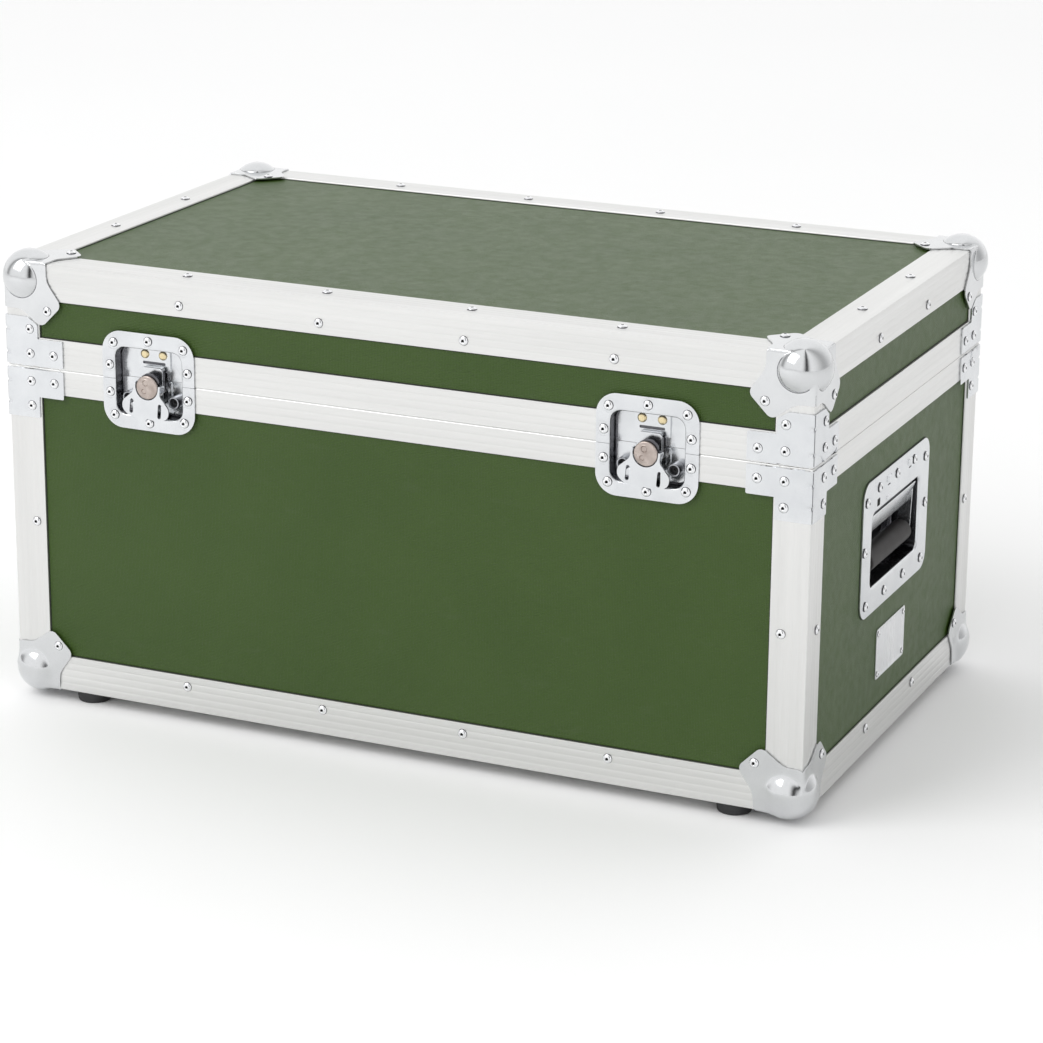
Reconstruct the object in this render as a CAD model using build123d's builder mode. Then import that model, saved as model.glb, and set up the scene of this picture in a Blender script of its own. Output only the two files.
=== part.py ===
from build123d import *
import os
from math import cos, radians, sin

# Footlocker: a hinged-lid transit trunk of laminated plywood panels held in riveted aluminium extrusions.
# Units are millimetres.  +Z is up, the front with the two latches faces -Y, and the origin is on the floor
# below the centre of the case.

# ---------------------------------------------------------------- driving dimensions
width = 800.0
depth = 478.0
height = 419.0
lid_height = 100.5
foot_height = 12.0
parting_gap = 0.3
part_gap = 0.1
plate_gap = 0.05

edge_leg = 35.0
edge_wall = 2.0
panel_slot = 7.0
inner_leg = 15.0
inner_wall = 1.5
panel_edge = 1.6
base_rim_band = 24.0
lid_rim_band = 29.3
base_rim_inner = 16.0
lid_rim_inner = 20.0
lid_rim_web = 5.5
tongue_height = 3.0
tongue_wall = 2.0
tongue_clearance = 0.6

sheet = 1.5
rivet_radius = 5.0
rivet_height = 2.0
rivet_hole = 1.7
small_rivet_scale = 0.6
row_pitch = 143.6
side_pitch = 136.0
face_row = 24.5
top_row = 18.0

ball_radius = 25.5
ball_inset = 16.5
ball_leg = 44.6
ball_shoulder = 16.5
ball_lobe_far = 60.5
ball_lobe_near = 38.5
ball_lobe_fillet = 6.0
ball_rivet = 44.7

brace_reach = 60.0
brace_rise = 48.5
brace_leg = 34.0
brace_arm = 28.0
brace_near = 25.0
brace_far = 50.0
brace_row = 13.2
brace_top_row = 36.8
brace_bevel_wide = 10.0
brace_bevel_high = 7.0
base_brace_gap = 1.6
lid_brace_gap = 2.2

foot_radius = 17.0
foot_from_side = 70.0
foot_from_front = 21.0
foot_taper = 5.0
screw_well = 8.0
screw_head = 5.0
screw_thickness = 3.0

latch_x = 248.3
latch_width = 96.6
latch_rise = 46.3
latch_corner = 20.0
pocket_width = 70.0
pocket_low = -33.0
pocket_high = 31.0
pocket_corner = 10.0
pocket_depth = 11.5
pressing = 1.2
hub_z = -4.0
rest_turn = 5.0
hub_head_radius = 11.3
cam_offset = 3.0
cam_radius = 5.0
cam_slack = 1.0
wing_ear_x = 13.0

handle_z = 199.0
handle_width = 190.0
handle_rise = 129.0
handle_corner = 16.0
tray_width = 137.0
tray_low = -40.0
tray_high = 31.0
tray_depth = 26.0
bail_pin_z = 22.5
bail_pin_in = 7.0
bail_half = 62.0
grip_z = -20.0
grip_in = 11.0
grip_radius = 10.5
grip_length = 112.0

hinge_x = 250.0
hinge_width = 76.0
hinge_leaf = 22.0
knuckle_radius = 4.3
knuckle_back = 4.5
hinge_pin_radius = 2.0
running_fit = 0.05

# ---------------------------------------------------------------- places worked out from them
half_w = width / 2
half_d = depth / 2
floor_z = foot_height
top_z = floor_z + height
parting_z = top_z - lid_height
lid_bottom_z = parting_z + parting_gap
inner_start = edge_wall + panel_slot
panel_inset = inner_start + panel_edge
panel_thickness = panel_slot - 2 * part_gap
tongue_in = edge_wall + (panel_slot - tongue_wall) / 2
LOW = (Align.MIN, Align.MIN)

os.makedirs("parts", exist_ok=True)


def save(builder, name):
    """Label one finished sub-part and write it."""
    builder.part.label = name
    export_step(builder.part, f"parts/{name}.step")


def bar(x0, x1, y0, y1, mode=Mode.ADD):
    """A rectangle of the current sketch given by its limits."""
    with Locations((x0, y0)):
        Rectangle(x1 - x0, y1 - y0, align=LOW, mode=mode)


def front_plane(x, z):
    """Work plane on the front face: x runs right, y runs up, z points out of the case."""
    return Plane(origin=(x, -half_d, z), x_dir=(1, 0, 0), z_dir=(0, -1, 0))


def side_plane(side, z, inset=0.0):
    """Work plane on the right (side=1) or left (side=-1) face, y up and z pointing out of the case."""
    return Plane(origin=(side * (half_w - inset), 0, z), x_dir=(0, side, 0), z_dir=(side, 0, 0))


# ---------------------------------------------------------------- extrusions
def double_angle():
    """Section of the edge extrusion: outer angle, inner angle and the web between them, arris at 0, 0."""
    bar(0, edge_leg, 0, edge_wall)
    bar(0, edge_wall, 0, edge_leg)
    bar(inner_start, inner_start + inner_leg, inner_start, inner_start + inner_wall)
    bar(inner_start, inner_start + inner_wall, inner_start, inner_start + inner_leg)
    bar(inner_start - inner_wall, inner_start, inner_start - inner_wall, inner_start + inner_wall)
    bar(inner_start, inner_start + inner_wall, inner_start - inner_wall, inner_start)
    near, far, half_web = edge_wall, inner_start, inner_wall
    with BuildLine() as web:
        Polyline(
            (near, near),
            (near + half_web, near),
            (far, far - half_web),
            (far, far),
            (far - half_web, far),
            (near, near + half_web),
            close=True,
        )
    make_face(web.edges())


def mitre(corner, run, legs, trim=0.0):
    """Cut one end of the current extrusion at a case corner.

    It keeps the points that lie further along the run than across each leg, and further along than trim.
    """
    start = Vector(*corner) + Vector(*run) * (part_gap / 2)
    for leg in legs:
        split(bisect_by=Plane(origin=start, z_dir=Vector(*run) - Vector(*leg)), keep=Keep.TOP)
    if trim > 0:
        split(bisect_by=Plane(origin=start + Vector(*run) * trim, z_dir=run), keep=Keep.TOP)


def long_edges(name, arris_z, up):
    """Front and back edge extrusions at one height; up is the way their vertical legs point."""
    start = (-up * half_w, -half_d, arris_z)
    end = (up * half_w, -half_d, arris_z)
    legs = [(0, 1, 0), (0, 0, up)]
    with BuildPart() as edges:
        with BuildSketch(Plane(origin=start, x_dir=(0, 1, 0), z_dir=(up, 0, 0))):
            double_angle()
        extrude(amount=width)
        mitre(start, (up, 0, 0), legs, ball_inset)
        mitre(end, (-up, 0, 0), legs, ball_inset)
        mirror(about=Plane.XZ)
    save(edges, name)


def short_edges(name, arris_z, up):
    """Left and right edge extrusions at one height."""
    start = (-half_w, up * half_d, arris_z)
    end = (-half_w, -up * half_d, arris_z)
    legs = [(1, 0, 0), (0, 0, up)]
    with BuildPart() as edges:
        with BuildSketch(Plane(origin=start, x_dir=(1, 0, 0), z_dir=(0, -up, 0))):
            double_angle()
        extrude(amount=depth)
        mitre(start, (0, -up, 0), legs, ball_inset)
        mitre(end, (0, up, 0), legs, ball_inset)
        mirror(about=Plane.YZ)
    save(edges, name)


def posts(name, low_z, high_z, corner_z, up):
    """Four corner posts, mitred at the case corner and cut square where they meet a rim."""
    with BuildPart() as group:
        with BuildSketch(Plane(origin=(-half_w, -half_d, low_z), x_dir=(1, 0, 0), z_dir=(0, 0, 1))):
            double_angle()
        extrude(amount=high_z - low_z)
        mitre((-half_w, -half_d, corner_z), (0, 0, up), [(1, 0, 0), (0, 1, 0)], ball_inset)
        mirror(about=Plane.YZ)
        mirror(about=Plane.XZ)
    save(group, name)


long_edges("base_edges_long", floor_z, 1)
short_edges("base_edges_short", floor_z, 1)
posts("base_posts", floor_z, parting_z - base_rim_band - part_gap, floor_z, 1)
long_edges("lid_edges_long", top_z, -1)
short_edges("lid_edges_short", top_z, -1)
posts("lid_posts", parting_z + lid_rim_band + part_gap, top_z, top_z, -1)


def base_rim_section():
    """Tongued rim of the base: x runs inwards from the case face, y up from the parting line."""
    bar(0, edge_wall, -base_rim_band, 0)
    bar(0, inner_start + inner_wall, -inner_wall, 0)
    bar(inner_start, inner_start + inner_wall, -base_rim_inner, 0)
    bar(tongue_in, tongue_in + tongue_wall, 0, tongue_height)


def lid_rim_section():
    """Grooved rim of the lid, which drops over the tongue."""
    bar(0, edge_wall, parting_gap, lid_rim_band)
    bar(0, inner_start + inner_wall, parting_gap, lid_rim_web)
    bar(inner_start, inner_start + inner_wall, parting_gap, lid_rim_inner)
    groove_in = tongue_in - tongue_clearance
    groove_out = tongue_in + tongue_wall + tongue_clearance
    bar(groove_in, groove_out, 0, tongue_height + 3 * parting_gap, mode=Mode.SUBTRACT)


def latch_cutout(thickness):
    """Remove the space that both latch pockets need from the current front part."""
    for x in (-latch_x, latch_x):
        with BuildSketch(front_plane(x, parting_z).offset(1)) as cut:
            half = pocket_width / 2 + pressing + 4 * part_gap
            low = pocket_low - pressing - 4 * part_gap
            high = pocket_high + pressing + 4 * part_gap
            bar(-half, half, low, high)
        extrude(cut.sketch, amount=-thickness, mode=Mode.SUBTRACT)


def long_rim(name, section, is_front):
    """Front or back rim; the front one is cut away at both latches."""
    start = (-half_w, -half_d, parting_z)
    end = (half_w, -half_d, parting_z)
    with BuildPart() as rim:
        with BuildSketch(Plane(origin=start, x_dir=(0, 1, 0), z_dir=(1, 0, 0))):
            section()
        extrude(amount=width)
        mitre(start, (1, 0, 0), [(0, 1, 0)])
        mitre(end, (-1, 0, 0), [(0, 1, 0)])
        if is_front:
            latch_cutout(2 * inner_start)
        else:
            mirror(about=Plane.XZ, mode=Mode.REPLACE)
    save(rim, name)


def side_rims(name, section):
    """Left and right rims."""
    front = (-half_w, -half_d, parting_z)
    back = (-half_w, half_d, parting_z)
    with BuildPart() as sides:
        with BuildSketch(Plane(origin=back, x_dir=(1, 0, 0), z_dir=(0, -1, 0))):
            section()
        extrude(amount=depth)
        mitre(back, (0, -1, 0), [(1, 0, 0)])
        mitre(front, (0, 1, 0), [(1, 0, 0)])
        mirror(about=Plane.YZ)
    save(sides, name)


for half_name, rim_section in {"base": base_rim_section, "lid": lid_rim_section}.items():
    long_rim(f"{half_name}_rim_front", rim_section, True)
    long_rim(f"{half_name}_rim_back", rim_section, False)
    side_rims(f"{half_name}_rims_side", rim_section)


# ---------------------------------------------------------------- panels
def flat_panel(name, outer_z):
    """Bottom or top panel; outer_z is the case face that it lies behind."""
    inward = 1 if outer_z < parting_z else -1
    with BuildPart() as panel:
        with BuildSketch(Plane.XY.offset(outer_z + inward * (edge_wall + part_gap))):
            Rectangle(width - 2 * panel_inset, depth - 2 * panel_inset)
        extrude(amount=inward * panel_thickness)
    save(panel, name)


def long_panel(name, low_z, high_z, is_front):
    """Front or back panel of the base or the lid; the front one is notched at both latch pockets."""
    with BuildPart() as panel:
        with BuildSketch(front_plane(0, 0).offset(-edge_wall - part_gap)):
            bar(-half_w + panel_inset, half_w - panel_inset, low_z, high_z)
        extrude(amount=-panel_thickness)
        if is_front:
            latch_cutout(2 * inner_start)
        else:
            mirror(about=Plane.XZ, mode=Mode.REPLACE)
    save(panel, name)


def side_panel(name, side, low_z, high_z, tray):
    """End panel; tray says whether it has the opening for a carrying handle's tray."""
    with BuildPart() as panel:
        with BuildSketch(side_plane(side, 0, edge_wall + part_gap)):
            bar(-half_d + panel_inset, half_d - panel_inset, low_z, high_z)
            if tray:
                half = tray_width / 2 + pressing + 1
                low = floor_z + handle_z + tray_low - pressing - 4 * part_gap
                high = floor_z + handle_z + tray_high + pressing + 4 * part_gap
                bar(-half, half, low, high, mode=Mode.SUBTRACT)
        extrude(amount=-panel_thickness)
    save(panel, name)


base_panel_low = floor_z + panel_inset
base_panel_high = parting_z - inner_wall - 3 * part_gap
lid_panel_low = parting_z + lid_rim_web + 3 * part_gap
lid_panel_high = top_z - panel_inset
flat_panel("bottom_panel", floor_z)
long_panel("front_panel", base_panel_low, base_panel_high, True)
long_panel("back_panel", base_panel_low, base_panel_high, False)
side_panel("left_panel", -1, base_panel_low, base_panel_high, True)
side_panel("right_panel", 1, base_panel_low, base_panel_high, True)
flat_panel("lid_top_panel", top_z)
long_panel("lid_front_panel", lid_panel_low, lid_panel_high, True)
long_panel("lid_back_panel", lid_panel_low, lid_panel_high, False)
side_panel("lid_left_panel", -1, lid_panel_low, lid_panel_high, False)
side_panel("lid_right_panel", 1, lid_panel_low, lid_panel_high, False)


# ---------------------------------------------------------------- ball corners and corner braces
def ball_plate(sketch):
    """Outline of one face of a ball corner, the case corner at 0, 0 and a bevelled lobe on the diagonal."""
    skirt = sheet + plate_gap
    with BuildLine() as outline:
        Polyline(
            (-skirt, -skirt),
            (ball_leg, -skirt),
            (ball_leg, ball_shoulder),
            (ball_lobe_far, ball_lobe_near),
            (ball_lobe_near, ball_lobe_far),
            (ball_shoulder, ball_leg),
            (-skirt, ball_leg),
            close=True,
        )
    make_face(outline.edges())
    lobe = sketch.vertices().sort_by(Axis.X)[-1:] + sketch.vertices().sort_by(Axis.Y)[-1:]
    fillet(lobe, radius=ball_lobe_fillet)


def ball_corners(name, corner_z, up):
    """Four pressed corners, each three riveted plates around a hollow ball; up points into the case.

    The plates stop at the ball, which replaces the sharp corner of the case.
    """
    corner = Vector(-half_w, -half_d, corner_z)
    skirt = ball_radius - ball_inset
    faces = [((1, 0, 0), (0, 1, 0)), ((1, 0, 0), (0, 0, up)), ((0, 1, 0), (0, 0, up))]
    with BuildPart() as group:
        for a, b in faces:
            normal = Vector(*a).cross(Vector(*b))
            inward = 1 if normal.dot(Vector(1, 1, up)) > 0 else -1
            face = Plane(origin=corner - normal * inward * plate_gap, x_dir=a, z_dir=normal)
            with BuildSketch(face) as plate:
                ball_plate(plate)
            extrude(plate.sketch, amount=-inward * sheet)
        with Locations(corner + Vector(1, 1, up) * (ball_inset - skirt) / 2):
            Box(*[ball_inset + skirt] * 3, mode=Mode.SUBTRACT)
        with Locations(corner + Vector(1, 1, up) * ball_inset):
            Sphere(ball_radius)
            Sphere(ball_radius - sheet, mode=Mode.SUBTRACT)
        with Locations(corner + Vector(1, 1, up) * (ball_leg - plate_gap)):
            Box(2 * ball_leg, 2 * ball_leg, 2 * ball_leg, mode=Mode.SUBTRACT)
        mirror(about=Plane.YZ)
        mirror(about=Plane.XZ)
    save(group, name)


ball_corners("base_ball_corners", floor_z, 1)
ball_corners("lid_ball_corners", top_z, -1)


def brace_outline(up, gap, bevelled):
    """L-shaped face of a corner brace, the vertical arris at x = 0 and the parting line at y = 0."""
    skirt = -sheet - plate_gap
    top = [(brace_leg, up * brace_rise)]
    if bevelled:
        top = [
            (brace_leg, up * (brace_rise - brace_bevel_high)),
            (brace_leg - brace_bevel_wide, up * brace_rise),
        ]
    points = [
        (skirt, up * gap),
        (brace_reach, up * gap),
        (brace_reach, up * brace_arm),
        (brace_leg, up * brace_arm),
        *top,
        (skirt, up * brace_rise),
    ]
    with BuildLine() as outline:
        Polyline(*points, close=True)
    make_face(outline.edges())


def corner_braces(name, up, gap, bevelled):
    """Four folded braces beside the parting line, wrapped round the vertical arrises."""
    with BuildPart() as group:
        with BuildSketch(front_plane(-half_w, parting_z).offset(plate_gap)):
            brace_outline(up, gap, bevelled)
        extrude(amount=sheet)
        side = Plane(origin=(-half_w - plate_gap, -half_d, parting_z), x_dir=(0, 1, 0), z_dir=(1, 0, 0))
        with BuildSketch(side):
            brace_outline(up, gap, bevelled)
        extrude(amount=-sheet)
        mirror(about=Plane.YZ)
        mirror(about=Plane.XZ)
    save(group, name)


corner_braces("base_corner_braces", -1, base_brace_gap, False)
corner_braces("lid_corner_braces", 1, lid_brace_gap, True)


# ---------------------------------------------------------------- feet
foot_spots = [
    (sx * (half_w - foot_from_side), sy * (half_d - foot_from_front)) for sx in (-1, 1) for sy in (-1, 1)
]
with BuildPart() as feet:
    with BuildSketch(Plane.XY):
        with Locations(*foot_spots):
            Circle(foot_radius - 1)
    extrude(amount=foot_height - plate_gap, taper=-foot_taper)
    with BuildSketch(Plane.XY):
        with Locations(*foot_spots):
            Circle(screw_head + 1)
    extrude(amount=screw_well, mode=Mode.SUBTRACT)
save(feet, "feet")

with BuildPart() as foot_screws:
    with BuildSketch(Plane.XY.offset(screw_well - screw_thickness)):
        with Locations(*foot_spots):
            Circle(screw_head)
    extrude(amount=screw_thickness - plate_gap)
save(foot_screws, "foot_screws")


# ---------------------------------------------------------------- latches
def latch_dish(name, x, upper):
    """Half of a latch's recessed dish: riveted flange round a pressed pocket, open at the parting line."""
    face = front_plane(x, parting_z)
    with BuildPart() as dish:
        with BuildSketch(face.offset(plate_gap)):
            RectangleRounded(latch_width, 2 * latch_rise, latch_corner)
        extrude(amount=sheet)
        middle = (pocket_low + pocket_high) / 2
        rise = pocket_high - pocket_low
        with BuildSketch(face.offset(-pocket_depth - pressing)):
            with Locations((0, middle)):
                RectangleRounded(pocket_width + 2 * pressing, rise + 2 * pressing, pocket_corner + pressing)
        extrude(amount=pocket_depth + pressing + sheet)
        with BuildSketch(face.offset(-pocket_depth)):
            with Locations((0, middle)):
                RectangleRounded(pocket_width, rise, pocket_corner)
        extrude(amount=pocket_depth + 2 * sheet, mode=Mode.SUBTRACT)
        if upper:
            split(bisect_by=Plane.XY.offset(lid_bottom_z), keep=Keep.TOP)
        else:
            split(bisect_by=Plane.XY.offset(parting_z), keep=Keep.BOTTOM)
    save(dish, name)


keeper_half = 17.0
keeper_low = 8.0
keeper_high = 29.0
keeper_lip = 4.5
keeper_lip_half = 9.6
keeper_lip_front = 7.0
keeper_slot_low = 14.6
keeper_slot_high = 17.2
keeper_slot_half = 12.0
keeper_rivet_x = 9.5
keeper_rivet_z = 24.0


def keeper(name, x):
    """Riveted plate in the upper pocket with the lip that the claw reaches for."""
    face = front_plane(x, parting_z)
    with BuildPart() as plate:
        with BuildSketch(face.offset(-pocket_depth + plate_gap)):
            bar(-keeper_half, keeper_half, keeper_low, keeper_high)
            bar(-keeper_slot_half, keeper_slot_half, keeper_slot_low, keeper_slot_high, mode=Mode.SUBTRACT)
        extrude(amount=sheet)
        with BuildSketch(face.offset(-keeper_lip_front)):
            bar(-keeper_lip_half, keeper_lip_half, keeper_low, keeper_low + keeper_lip)
        extrude(amount=-(pocket_depth - sheet - keeper_lip_front))
    save(plate, name)


claw_front = -4.0
claw_half = 11.5
claw_top = 13.0
claw_low = -18.0
claw_sheet = 1.4
claw_corner = 3.0
claw_side_low = -9.0
claw_side_high = 9.0
claw_side_back = 5.0
nose = 2.6
nose_half = 8.5
ear_x = 14.8
ear_low = -30.0
ear_high = -18.5
ear_half = 1.0
wing_back = 3.85
wing_sheet = 1.5
pin_in = 0.3
wing_pin_radius = 1.5
wing_pin_half = 14.5
cam_front = -3.6
cam_back = -6.6
hub_back = -9.9
hub_foot_radius = 9.0
hub_neck_radius = 6.5
hub_head_back = 3.2
hub_head_edge = 4.6
hub_head_crown = 1.2
hub_overlap = 0.1


def claw(name, x):
    """Draw claw: a channel driven up and down by the cam in its window, with a short return at its top."""
    face = front_plane(x, parting_z)
    window_half = cam_radius + cam_offset + cam_slack
    window_low = hub_z - cam_offset - cam_radius - cam_slack
    window_high = hub_z - cam_offset + cam_radius + cam_slack
    with BuildPart() as plate:
        with BuildSketch(face.offset(claw_front)) as outline:
            bar(-claw_half, claw_half, claw_low, claw_top)
            fillet(outline.vertices().group_by(Axis.Y)[-1], radius=claw_corner)
            bar(-window_half, window_half, window_low, window_high, mode=Mode.SUBTRACT)
        extrude(amount=-claw_sheet)
        with BuildSketch(face.offset(claw_front)):
            bar(-claw_half, -claw_half + claw_sheet, claw_side_low, claw_side_high)
            bar(claw_half - claw_sheet, claw_half, claw_side_low, claw_side_high)
        extrude(amount=-claw_side_back)
        with BuildSketch(face.offset(claw_front)):
            bar(-nose_half, nose_half, claw_top - claw_sheet, claw_top)
        extrude(amount=-nose)
    save(plate, name)


def turned_plane(x):
    """Work plane on a hub's axis at the front face, turned as the hub rests, z pointing out of the case."""
    turn = radians(rest_turn)
    return Plane(origin=(x, -half_d, parting_z + hub_z), x_dir=(cos(turn), 0, -sin(turn)), z_dir=(0, -1, 0))


def across_plane(x, along=0.0):
    """Work plane across a latch on the wing's pin: x runs into the case, y up the wing, z along the pin."""
    face = turned_plane(x)
    origin = face.origin - face.z_dir * pin_in + face.x_dir * along
    return Plane(origin=origin, x_dir=-face.z_dir, z_dir=face.x_dir)


def hub(name, x):
    """Turning hub: foot disc, the cam that drives the claw, a neck drilled for the wing's pin and a head."""
    face = turned_plane(x)
    with BuildPart() as post:
        with BuildSketch(face.offset(hub_back)):
            Circle(hub_foot_radius)
        extrude(amount=cam_back - hub_back)
        with BuildSketch(face.offset(cam_back)):
            with Locations((0, -cam_offset)):
                Circle(cam_radius)
        extrude(amount=cam_front - cam_back)
        with BuildSketch(face.offset(cam_front)):
            Circle(hub_neck_radius)
        extrude(amount=hub_head_back + hub_overlap - cam_front)
        with BuildSketch(face.offset(hub_head_back)):
            Circle(hub_head_radius)
        extrude(amount=hub_head_edge - hub_head_back)
        with BuildSketch(face.offset(hub_head_edge)):
            Circle(hub_head_radius)
        extrude(amount=hub_head_crown, taper=45)
        with BuildSketch(across_plane(x)):
            Circle(wing_pin_radius + running_fit)
        extrude(amount=hub_head_radius, both=True, mode=Mode.SUBTRACT)
    save(post, name)


def wing_pin(name, x):
    """Cross pin on which the butterfly wing folds."""
    with BuildPart() as pin:
        with BuildSketch(across_plane(x)):
            Circle(wing_pin_radius)
        extrude(amount=wing_pin_half, both=True)
    save(pin, name)


wing_notch = hub_head_radius + 0.6
wing_ear = 1.4
wing_ear_rise = 3.4
wing_neck = wing_ear_x + 0.8
wing_neck_low = -6.0
wing_lobe_x = 24.5
wing_lobe_high = -16.5
wing_lobe_low = -24.5
wing_foot_x = 17.0
wing_foot_low = -30.0
wing_corner = 3.5
wing_slot_z = -20.2
wing_slot_long = 14.0
wing_slot_wide = 3.6


def wing(name, x):
    """Butterfly wing folded flat: a bell-shaped plate round the hub's head, with two ears on the pin."""
    right_edge = [
        (wing_foot_x, wing_foot_low),
        (wing_lobe_x, wing_lobe_low),
        (wing_lobe_x, wing_lobe_high),
        (wing_neck, wing_neck_low),
        (wing_neck, wing_ear_rise),
    ]
    left_edge = [(-across, along) for across, along in reversed(right_edge)]
    with BuildPart() as plate:
        with BuildSketch(turned_plane(x).offset(wing_back)) as outline:
            with BuildLine():
                Polyline(*left_edge, *right_edge, close=True)
            make_face()
            fillet(outline.vertices().sort_by(Axis.Y)[:-2], radius=wing_corner)
            Circle(wing_notch, mode=Mode.SUBTRACT)
            bar(-wing_notch, wing_notch, 0, wing_ear_rise, mode=Mode.SUBTRACT)
            with Locations((-ear_x, wing_slot_z), (ear_x, wing_slot_z)):
                SlotOverall(wing_slot_long, wing_slot_wide, rotation=90, mode=Mode.SUBTRACT)
        extrude(amount=wing_sheet)
        for side in (-1, 1):
            with BuildSketch(across_plane(x, side * wing_ear_x)):
                Circle(wing_ear_rise)
                bar(-wing_back - wing_sheet - pin_in, 0, -wing_ear_rise, wing_ear_rise)
            extrude(amount=wing_ear / 2, both=True)
        with BuildSketch(across_plane(x)):
            Circle(wing_pin_radius + running_fit)
        extrude(amount=wing_pin_half, both=True, mode=Mode.SUBTRACT)
    save(plate, name)


latch_sides = {"left": -latch_x, "right": latch_x}
for side_name, x in latch_sides.items():
    latch_dish(f"latch_lower_dish_{side_name}", x, False)
    latch_dish(f"latch_upper_dish_{side_name}", x, True)
    keeper(f"latch_keeper_{side_name}", x)
    claw(f"latch_claw_{side_name}", x)
    hub(f"latch_hub_{side_name}", x)
    wing_pin(f"latch_pin_{side_name}", x)
    wing(f"latch_wing_{side_name}", x)

base_plate_half = 17.5
base_plate_high = -1.0
buffer_x = 24.0
buffer_z = -17.5
buffer_radius = 5.8
with BuildPart() as latch_base_plates:
    for x in latch_sides.values():
        face = front_plane(x, parting_z)
        with BuildSketch(face.offset(-pocket_depth + plate_gap)):
            bar(-base_plate_half, base_plate_half, pocket_low + 1, base_plate_high)
        extrude(amount=sheet - 2 * plate_gap)
        with BuildSketch(face.offset(-pocket_depth + sheet - 2 * plate_gap)):
            for side in (-1, 1):
                bar(side * ear_x - ear_half, side * ear_x + ear_half, ear_low, ear_high)
        extrude(amount=pocket_depth - sheet + wing_back - 4 * part_gap)
save(latch_base_plates, "latch_base_plates")

with BuildPart() as latch_buffers:
    for x in latch_sides.values():
        with BuildSketch(front_plane(x, parting_z).offset(-pocket_depth + plate_gap)):
            with Locations((-buffer_x, buffer_z), (buffer_x, buffer_z)):
                Circle(buffer_radius)
        extrude(amount=pocket_depth - sheet)
save(latch_buffers, "latch_buffers")


# ---------------------------------------------------------------- carrying handles
pin_radius = 1.6
bail_sheet = 1.6
bail_arm = 1.8
bail_top = 27.5
bail_bottom = 8.0
bail_front = 0.5
bail_lean = 5.5
bail_eye = 4.5
bail_boss = 7.0
rod_radius = 4.0
spring_wire = 0.45
spring_coil = 2.5
spring_turns = 7
tray_corner = 8.0
tray_wall = tray_width / 2 + pressing


def profile_plane(side):
    """Plane across a carrying handle: x points out of the case from the panel's surface, y up."""
    origin = (side * (half_w - edge_wall - part_gap), 0, floor_z + handle_z)
    return Plane(origin=origin, x_dir=(side, 0, 0), z_dir=(0, -side, 0))


def handle_tray(name, side):
    """Recessed tray riveted to the end panel, drilled for the bail's pin."""
    face = side_plane(side, floor_z + handle_z, edge_wall + part_gap)
    middle = (tray_low + tray_high) / 2
    rise = tray_high - tray_low
    with BuildPart() as tray:
        with BuildSketch(face.offset(plate_gap)):
            RectangleRounded(handle_width, handle_rise, handle_corner)
        extrude(amount=sheet)
        with BuildSketch(face.offset(-tray_depth - pressing)):
            with Locations((0, middle)):
                RectangleRounded(2 * tray_wall, rise + 2 * pressing, tray_corner + pressing)
        extrude(amount=tray_depth + pressing + sheet)
        with BuildSketch(face.offset(-tray_depth)):
            with Locations((0, middle)):
                RectangleRounded(tray_width, rise, tray_corner)
        extrude(amount=tray_depth + 2 * sheet, mode=Mode.SUBTRACT)
        with BuildSketch(profile_plane(side)):
            with Locations((-bail_pin_in, bail_pin_z)):
                Circle(pin_radius + running_fit)
        extrude(amount=handle_width / 2, both=True, mode=Mode.SUBTRACT)
    save(tray, name)


def handle_bail(name, side):
    """Folded steel bail: a leaning finger plate, two arms that hang on the pin and the rod for the grip."""
    across = profile_plane(side)
    with BuildPart() as bail:
        with BuildSketch(across):
            with BuildLine():
                Polyline(
                    (-bail_front, bail_top),
                    (-bail_front - bail_lean, bail_bottom),
                    (-bail_front - bail_lean - bail_sheet, bail_bottom),
                    (-bail_front - bail_sheet, bail_top),
                    close=True,
                )
            make_face()
        extrude(amount=bail_half, both=True)
        for offset in (-bail_half, bail_half - bail_arm):
            with BuildSketch(across.offset(offset)):
                with Locations((-bail_pin_in, bail_pin_z)):
                    Circle(bail_eye)
                with Locations((-grip_in, grip_z)):
                    Circle(bail_boss)
                make_hull()
            extrude(amount=bail_arm)
        with BuildSketch(across):
            with Locations((-grip_in, grip_z)):
                Circle(rod_radius)
        extrude(amount=bail_half - bail_arm / 2, both=True)
        with BuildSketch(across):
            with Locations((-bail_pin_in, bail_pin_z)):
                Circle(pin_radius + running_fit)
        extrude(amount=2 * bail_half, both=True, mode=Mode.SUBTRACT)
    save(bail, name)


def handle_grip(name, side):
    """Rubber sleeve on the bail's rod."""
    with BuildPart() as grip:
        with BuildSketch(profile_plane(side)):
            with Locations((-grip_in, grip_z)):
                Circle(grip_radius)
                Circle(rod_radius + running_fit, mode=Mode.SUBTRACT)
        extrude(amount=grip_length / 2, both=True)
    save(grip, name)


for side_name, side in {"left": -1, "right": 1}.items():
    handle_tray(f"handle_tray_{side_name}", side)
    handle_bail(f"handle_bail_{side_name}", side)
    handle_grip(f"handle_grip_{side_name}", side)

with BuildPart() as handle_pins:
    for side in (-1, 1):
        with BuildSketch(profile_plane(side)):
            with Locations((-bail_pin_in, bail_pin_z)):
                Circle(pin_radius)
        extrude(amount=tray_wall + 0.5, both=True)
save(handle_pins, "handle_pins")

# Each return spring is built as one ring for each turn of its wire.
with BuildPart() as handle_springs:
    for side in (-1, 1):
        for turn in range(spring_turns):
            along = (turn - (spring_turns - 1) / 2) * (2 * spring_wire + part_gap)
            ring_plane = profile_plane(side).offset(along)
            with Locations(ring_plane.location * Location((-bail_pin_in, bail_pin_z, 0))):
                Torus(spring_coil, spring_wire)
save(handle_springs, "handle_springs")


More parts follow.
